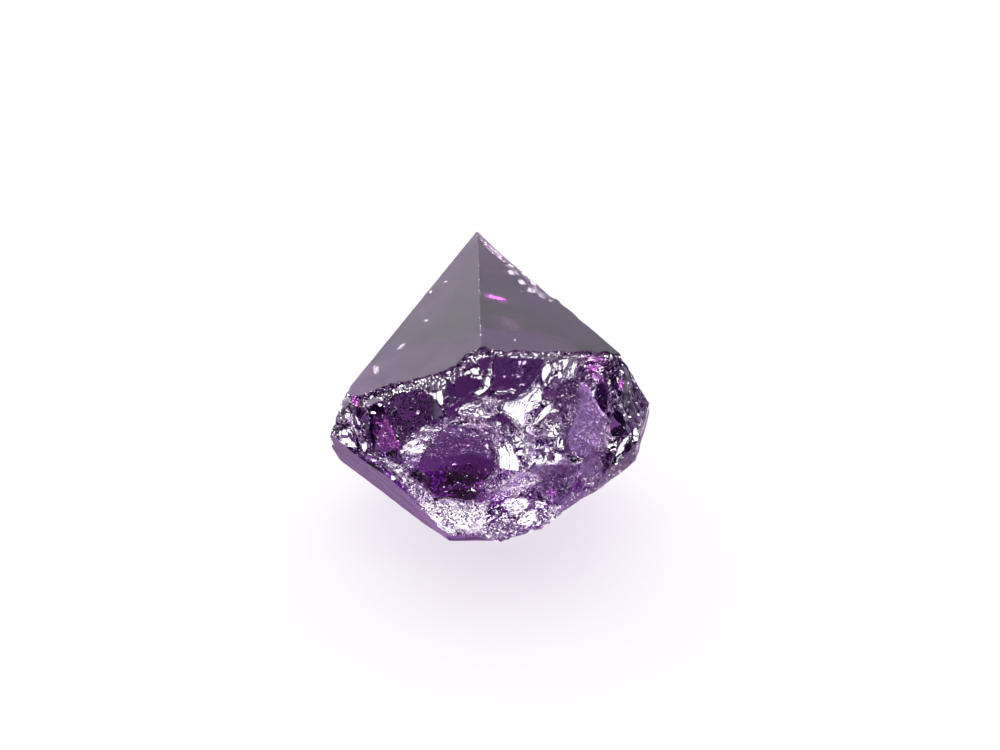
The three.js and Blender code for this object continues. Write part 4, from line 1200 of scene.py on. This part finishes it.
skin("crushed_skin",
     [on_break(CRUSHED, 3400, 1), on_break([(-4.6, 2.07), (-3.1, 2.36), (-0.92, 1.9), (-0.86, 1.09), (-1.49, 0.46), (-3.68, 0.57)], 2200, 2),
      on_break(SILVER, 250, 3), on_break([(-5.8, 5.11), (-5.52, 5.46), (-5.17, 5.75), (-4.68, 5.98), (-4.48, 5.86), (-5.06, 5.4), (-5.63, 5.06)], 260, 32),
      on_break([(-5.57, 4.94), (-5.17, 5.31), (-4.56, 5.59), (-4.2, 5.49), (-4.35, 5.16), (-4.97, 4.91)], 300, 33),
      on_break([(0, 5.11), (0.69, 4.89), (1.03, 3.85), (0.69, 3.05), (0.17, 2.93), (0, 3.74)], 260, 34), on_break([(0, 7.47), (0.46, 7.36), (0.92, 7.07), (1.38, 6.44), (1.58, 5.75), (1.7, 4.89), (1.84, 4.2), (1.61, 4.14), (1.38, 4.89), (1.21, 5.75), (1.03, 6.32), (0.63, 6.84), (0.11, 7.3)], 420, 31), on_break(SHOULDER_Z, 40, 4),
      on_break([(-7.82, 8.05), (-5.63, 9.02), (-4.25, 9.37), (-2.47, 9.94), (-1.15, 10.98), (-0.8, 10.98), (-0.8, 10.52), (-2.18, 9.71), (-4.2, 8.79), (-5.57, 8.45), (-7.7, 7.76)], 260, 8),
      on_break([(-0.8, 10.98), (7.18, 10.69), (7.18, 10.46), (-0.8, 10.69)], 130, 9),
      on_break([(-1.26, 1.21), (0, 1.67), (2.3, 1.9), (3.56, 2.18), (3.56, 1.67), (2.59, 0.86), (0, -0.06), (-1.26, 0.29)], 900, 91),
      on_break([(0, 2.07), (0.37, 2.45), (1.43, 2.47), (1.78, 2.13), (1.26, 1.66), (0.84, 1.49), (0.4, 1.72)], 640, 92),
      on_break([(0.86, 1.06), (1.35, 1.64), (1.95, 1.78), (2.13, 1.15), (1.55, 0.89)], 420, 93),
      on_break([(-0.92, 2.18), (-0.23, 2.64), (0.46, 3.1), (1.21, 3.68), (2.13, 3.82), (2.24, 3.45), (1.61, 2.93), (1.03, 2.59), (0.32, 2.47)], 900, 94)],
     .01, .06, 6, .35, white)
def along_edge(count, seed):
    """Places on the chips along the right edge."""
    k = np.flatnonzero(chipped)
    rr = np.random.RandomState(seed)
    area = np.zeros(nf)
    me.polygons.foreach_get("area", area)
    w = area[k] / area[k].sum()
    return centre[rr.choice(k, count, p=w)] + rr.normal(size=(count, 3)) * .02


def on_faces(p, q, count, seed, near):
    """Dust on two natural faces, thicker along the edge between them."""
    at, run, out_ = edge_between(p, q, near)
    rr = np.random.RandomState(seed)
    pts = []
    for face, sgn in ((p, 1), (q, -1)):
        n = unit(face[0])
        side_ = np.cross(run, n)
        side_ = side_ if side_ @ (at - np.array([0, 4, 6]) - n * 99) < 0 else side_
        for k in range(count):
            w = abs(rr.normal()) * .03 if k % 3 else rr.uniform(0, 5)
            c = at + run * rr.uniform(-12, 12)
            for sg in (1, -1):
                z = c + side_ * w * sg
                if abs(unit(p[0]) @ z - p[1] / np.linalg.norm(p[0])) < 1e-3 or abs(unit(q[0]) @ z - q[1] / np.linalg.norm(q[0])) < 1e-3:
                    pts.append(z)
    return np.array(pts)


def near_plane(plane, depth, count, seed, keep):
    """Places on the rough surface that lies within a depth of one of the broken planes."""
    n = unit(plane[0])
    k = np.flatnonzero((centre @ n > plane[1] / np.linalg.norm(plane[0]) - depth) & (normal @ n > .55) & ~natural & ~flat & keep)
    rr = np.random.RandomState(seed)
    area = np.zeros(nf)
    me.polygons.foreach_get("area", area)
    c = centre[k]
    w = area[k] * np.clip(fbm(c[:, 1] * 1.3 + 9, c[:, 2] * .8 + 3, seed, 2) * 2 + .25, .03, 1)
    return c[rr.choice(len(k), count, p=w / w.sum())] + rr.normal(size=(count, 3)) * .02


skin("end_skin", [near_plane(BREAK_RIGHT, .7, 380, 34, centre[:, 2] > 3), near_plane(BREAK_LEFT, .5, 260, 35, centre[:, 2] > 3),
                  near_plane(BREAK_UNDER, .5, 260, 36, centre[:, 1] < 3)], .01, .05, 37, .35, white)
pink = splinter_material("pink_splinters", (.84, .56, .88), .3, .5)
skin("edge_skin", [along_edge(620, 31)], .007, .034, 33, .5, pink)
skin("ridge_skin", [on_faces(TOP_LEFT, TOP_RIGHT, 60, 32, TIP)], .009, .024, 34, .5, white)
skin("rim_skin", [on_break(LOW_RIM, 700, 7)], .01, .05, 38, .35, white)
# specks of dust and grit lying on the break
skin("dust", [on_break([(-9.48, 8.39), (-1.15, 10.86), (7.01, 10.63), (8.51, 6.95), (5.75, 2.93), (0, 0.34), (-4.02, 0.75), (-9.48, 5.8)], 420, 11, 0.0)],
     .012, .03, 12, .8, milky)
# tiny healed fractures just under the smooth scoops, which make them milky, and the haze of fine
# splinters between the bright streaks.
violet = splinter_material("violet_flecks", (.80, .44, .97), .5, 0)
haze = splinter_material("lilac_haze", (.64, .50, .72), .25, .5)
magenta = splinter_material("magenta_flecks", (.50, .09, .56), .25, .3)
maroon = splinter_material("maroon_flecks", (.42, .08, .36), .4, 0)
dark_facet_painted_shade = splinter_material("painted_shade_flecks", (.03, .01, .04), .5, 0)
UPPER_BOWL = [(-3.45, 6.55), (-2.41, 6.61), (-1.26, 6.15), (-0.46, 5.46), (-0.46, 4.66), (-1.72, 5), (-3.45, 4.77), (-4.37, 4.89)]
LOWER_BOWL = [(-4.83, 3.85), (-3.45, 4.31), (-1.72, 4.54), (-0.69, 4.2), (-1.21, 3.05), (-1.41, 2.36), (-1.9, 2.24), (-3.16, 2.53), (-3.85, 2.53), (-4.25, 3.1)]
SMALL_BOWL = [(4.71, 4.37), (5.17, 4.71), (5.63, 4.89), (5.92, 4.39), (5.83, 3.79), (5.29, 3.16), (4.66, 3.16), (4.43, 3.74)]
BAND = [(1.38, 6.49), (1.9, 6.72), (2.07, 5.8), (2.07, 4.77), (1.72, 4.43), (1.55, 5.11)]


def beneath(points, count, seed, lo, span, power=1.0):
    return on_break(points, count, seed, lo + span * np.random.RandomState(seed + 1).uniform(0, 1, count) ** power)


skin("veils", [beneath(SCOOP, 19000, 13, .02, .4, 1.5)], .009, .036, 211, .3, violet, True)
skin("veils_small", [beneath(BOWL2, 9500, 15, .02, .35), beneath(SMALL_BOWL, 6500, 17, .02, .22),
               beneath(BOWL, 900, 19, .05, .5), beneath(UPPER_BOWL, 8500, 191, .03, .4), beneath(WINDOW, 900, 193, .05, .8)],
     .009, .034, 21, .3, violet, True)
skin("veils_pale", [beneath(MID, 500, 171, .02, .3), beneath(DARK_L, 120, 195, .05, .8), beneath(SPECK, 260, 197, .02, .4)],
     .009, .034, 22, .3, milky, True)
skin("haze", [on_break(RING, 2300, 51, avoid=BOWL), on_break(FAN, 700, 52), on_break(MID, 1000, 53), on_break(RIP, 500, 54), on_break(SH, 450, 55),
              on_break(SHOULDER_W, 250, 56), on_break(BAND, 700, 57), on_break(FOOT, 1700, 58), on_break(LEFT_END, 400, 59),
              on_break(SWIRL, 250, 60), on_break([(3.45, 5.11), (4.14, 5.06), (4.94, 4.6), (4.71, 4.2), (3.79, 4.31), (3.33, 4.43)], 420, 611), on_break(SMALL_BOWL, 420, 612), on_break(BOWL2, 300, 613), on_break([(-0.92, 2.7), (0, 3.16), (1.15, 4.08), (1.78, 4.43), (3.45, 4.54), (2.59, 3.51), (1.15, 3.16)], 900, 61)],
     .012, .038, 62, .35, haze)
# painted shade: dark maroon flecks sealed under the lower half of the big scoop darken it and turn it maroon
skin("painted_shade_lower_bowl", [beneath(LOWER_BOWL, 4200, 63, .04, .4)], .015, .06, 64, .3, maroon, True)
# painted shade: near-black flecks sealed under the dark facet on the left deepen its shade
skin("painted_shade_dark_facet", [beneath(DARK_L, 2400, 68, .05, .6)], .015, .06, 69, .3, dark_facet_painted_shade, True)
# thin violet, magenta and pink flecks; the magenta and pink ones under the right top face and the magenta splinters on
# the break are painted glints and a painted pink reflection
n_ = unit(TOP_RIGHT[0])
e_ = unit(np.cross((0, 1, 0), n_))
r5 = np.random.RandomState(65)


def cloud(px, depth, wide, high, thick, count):
    """Places scattered round a point under the right top face."""
    at, _ = under_face(px, depth, TOP_RIGHT)
    z = r5.normal(size=(count, 3))
    return at + z[:, :1] * wide * e_ + z[:, 1:2] * high * np.cross(n_, e_) + z[:, 2:] * thick * n_


film_violet = splinter_material("violet_film_flecks", (.33, .185, .44), .4, .3)
magenta_spot_and_glint = splinter_material("magenta_spot_and_glint_flecks", (.58, .10, .64), .4, .3)
pink_reflection_paint = splinter_material("painted_reflection_pink_flecks", (.20, .10, .215), .4, .2)
skin("violet_film", [on_break(SCOOP, 3000, 81), on_break(BOWL2, 900, 82), on_break(SMALL_BOWL, 700, 83), on_break(UPPER_BOWL, 1200, 84)],
     .012, .04, 85, .3, film_violet)
# painted glint: a thin cloud of magenta flecks just under the right top face, with magenta specks on the left scoop
skin("magenta_specks_and_painted_glint", [cloud((-0.23, 13.99), .05, .27, .10, .01, 520), on_break([(-7.24, 6.95), (-6.55, 7.07), (-6.15, 6.38), (-5.92, 5.69), (-6.15, 5.17), (-6.67, 5.11), (-7.18, 5.57)], 420, 86)],
     .01, .035, 87, .3, magenta_spot_and_glint)
# painted reflection: thin clouds of pink flecks under the right top face
skin("painted_pink_reflection", [cloud((0.57, 12.59), .05, .50, .55, .01, 900), cloud((-0.17, 13.97), .05, .50, .26, .01, 420)], .007, .021, 88, .3, pink_reflection_paint)
skin("magenta_veils", [beneath([(-7.36, 7.53), (-6.67, 7.53), (-6.21, 6.72), (-5.92, 5.8), (-6.09, 5.23), (-6.67, 5.11), (-7.18, 5.57), (-7.41, 6.38)], 4600, 66, .03, .5)],
     .012, .04, 67, .3, magenta, True)
# painted glints: magenta splinters on the right shoulder, the left end, beside the left scoop, low on the right and at
# the right end
skin("splinters", [on_break([(4.77, 10.63), (5.29, 10.75), (5.98, 10.52), (6.09, 10.06), (5.75, 9.6), (6.09, 9.14), (5.4, 9.02), (4.94, 9.71)], 170, 41, 0.0, .1),
                   on_break([(-8.62, 8.45), (-8.16, 8.22), (-8.05, 7.64), (-8.51, 7.87)], 45, 42), on_break([(-6.32, 6.03), (-5.75, 5.8), (-5.8, 5.11), (-6.21, 5.23)], 50, 43),
                   on_break([(2.64, 3.16), (3.22, 3.05), (3.22, 2.36), (2.64, 2.47)], 60, 44), on_break([(6.78, 9.48), (7.47, 9.25), (7.24, 8.56), (6.67, 8.79)], 60, 45)],
     .015, .07, 46, .35, magenta)


# ------------------------------------------------------------------ floor, light, camera
fm = bpy.data.materials.new("floor_pale")
fm.use_nodes = True
fb_ = fm.node_tree.nodes["Principled BSDF"]
fb_.inputs["Base Color"].default_value = (.8, .8, .805, 1)
fb_.inputs["Roughness"].default_value = .6
fb_.inputs["Specular IOR Level"].default_value = .2
floor = make_object("floor", np.array([[-3, -3, 0], [3, -3, 0], [3, 3, 0], [-3, 3, 0]], float), [[0, 1, 2, 3]])
floor.location.z = -.00002
floor.data.materials.append(fm)
floor.visible_glossy = False

scene = bpy.context.scene
world = bpy.data.worlds.new("studio")
scene.world = world
world.use_nodes = True
W, WL = world.node_tree.nodes, world.node_tree.links
bg = W["Background"]
tc = W.new("ShaderNodeTexCoord")
sep = W.new("ShaderNodeSeparateXYZ")
WL.new(tc.outputs["Generated"], sep.inputs[0])
ry = W.new("ShaderNodeMapRange")
ry.interpolation_type = "SMOOTHSTEP"
ry.inputs["From Min"].default_value = -.75
ry.inputs["From Max"].default_value = .35
ry.inputs["To Min"].default_value = .15
ry.inputs["To Max"].default_value = 1.6
WL.new(sep.outputs["Y"], ry.inputs["Value"])
rz = W.new("ShaderNodeMapRange")
rz.interpolation_type = "SMOOTHSTEP"
rz.inputs["From Min"].default_value = -.35
rz.inputs["From Max"].default_value = -.02
rz.inputs["To Min"].default_value = 0
rz.inputs["To Max"].default_value = 1.0
WL.new(sep.outputs["Z"], rz.inputs["Value"])
# above the horizon pale behind and darker in front, and below it the dim lilac that a table gives back
low = W.new("ShaderNodeMix")
low.data_type = "RGBA"
lowmix = W.new("ShaderNodeMapRange")
lowmix.interpolation_type = "SMOOTHSTEP"
lowmix.inputs["From Min"].default_value = -.2
lowmix.inputs["From Max"].default_value = .5
WL.new(sep.outputs["Y"], lowmix.inputs["Value"])
WL.new(lowmix.outputs[0], low.inputs["Factor"])
low.inputs["A"].default_value = (.015, .015, .018, 1)
low.inputs["B"].default_value = (.42, .25, .50, 1)
both = W.new("ShaderNodeMix")
both.data_type = "RGBA"
WL.new(rz.outputs[0], both.inputs["Factor"])
WL.new(low.outputs["Result"], both.inputs["A"])
# brighter to the left than to the right, and uneven like a real room's walls
side = W.new("ShaderNodeMapRange")
side.inputs["From Min"].default_value = -.45
side.inputs["From Max"].default_value = .35
side.inputs["To Min"].default_value = 1.12
side.inputs["To Max"].default_value = .80
WL.new(sep.outputs["X"], side.inputs["Value"])
wn = W.new("ShaderNodeTexNoise")
wn.inputs["Scale"].default_value = 2.4
wn.inputs["Detail"].default_value = 2.0
WL.new(tc.outputs["Generated"], wn.inputs["Vector"])
uneven = W.new("ShaderNodeMapRange")
uneven.inputs["From Min"].default_value = .35
uneven.inputs["From Max"].default_value = .65
uneven.inputs["To Min"].default_value = .62
uneven.inputs["To Max"].default_value = 1.2
WL.new(wn.outputs["Fac"], uneven.inputs["Value"])
m1, m2 = W.new("ShaderNodeMath"), W.new("ShaderNodeMath")
m1.operation = m2.operation = "MULTIPLY"
WL.new(side.outputs[0], m1.inputs[0])
WL.new(uneven.outputs[0], m1.inputs[1])
WL.new(m1.outputs[0], m2.inputs[0])
WL.new(ry.outputs[0], m2.inputs[1])
tint = W.new("ShaderNodeVectorMath")
tint.operation = "SCALE"
tint.inputs[0].default_value = (1.02, .95, 1.04)
WL.new(m2.outputs[0], tint.inputs["Scale"])
WL.new(tint.outputs[0], both.inputs["B"])
WL.new(both.outputs["Result"], bg.inputs["Color"])
bg.inputs["Strength"].default_value = 1.0


def softbox(name, place, target, size, radiance):
    l = bpy.data.lights.new(name, "AREA")
    l.shape, l.size, l.size_y = "RECTANGLE", size[0], size[1]
    l.energy = radiance * math.pi * size[0] * size[1]
    o = bpy.data.objects.new(name, l)
    scene.collection.objects.link(o)
    o.location = place
    o.rotation_euler = (Vector(target) - Vector(place)).to_track_quat("-Z", "Y").to_euler()
    return o


# the strong softbox shines on the stone, and a wide weaker one over it lights the floor as well
key = softbox("softbox_key", (0, -.09, .42), (0, -.09, 0), (.66, .66), 21)
only_stone = bpy.data.collections.new("stone_only")
for o in [stone] + small_pieces:
    only_stone.objects.link(o)
key.light_linking.receiver_collection = only_stone
softbox("softbox_wide", (0, .1, .9), (0, 0, 0), (1.6, 1.6), .8)
# what a polished table would throw back up at the crushed white skin
only_skin = bpy.data.collections.new("skin_only")
for o in small_pieces:
    only_skin.objects.link(o)
bounce = softbox("softbox_bounce", (0, -.1, -.42), (0, -.05, 0), (.5, .5), 2.6)
bounce.light_linking.receiver_collection = only_skin
bounce.light_linking.blocker_collection = only_skin
stone.visible_diffuse = False

cam_data = bpy.data.cameras.new("camera")
cam_data.sensor_width = 36
cam_data.lens = 36 * 4731 / 1000
cam_data.clip_start, cam_data.clip_end = .01, 10
cam = bpy.data.objects.new("camera", cam_data)
scene.collection.objects.link(cam)
cam.location = (.000568230, -.220076418, .1648)
cam.rotation_euler = (math.radians(90 - 35.31), 0, 0)
scene.camera = cam

scene.view_settings.view_transform = "Standard"
scene.cycles.max_bounces = 24
scene.cycles.transmission_bounces = 24
scene.cycles.glossy_bounces = 16
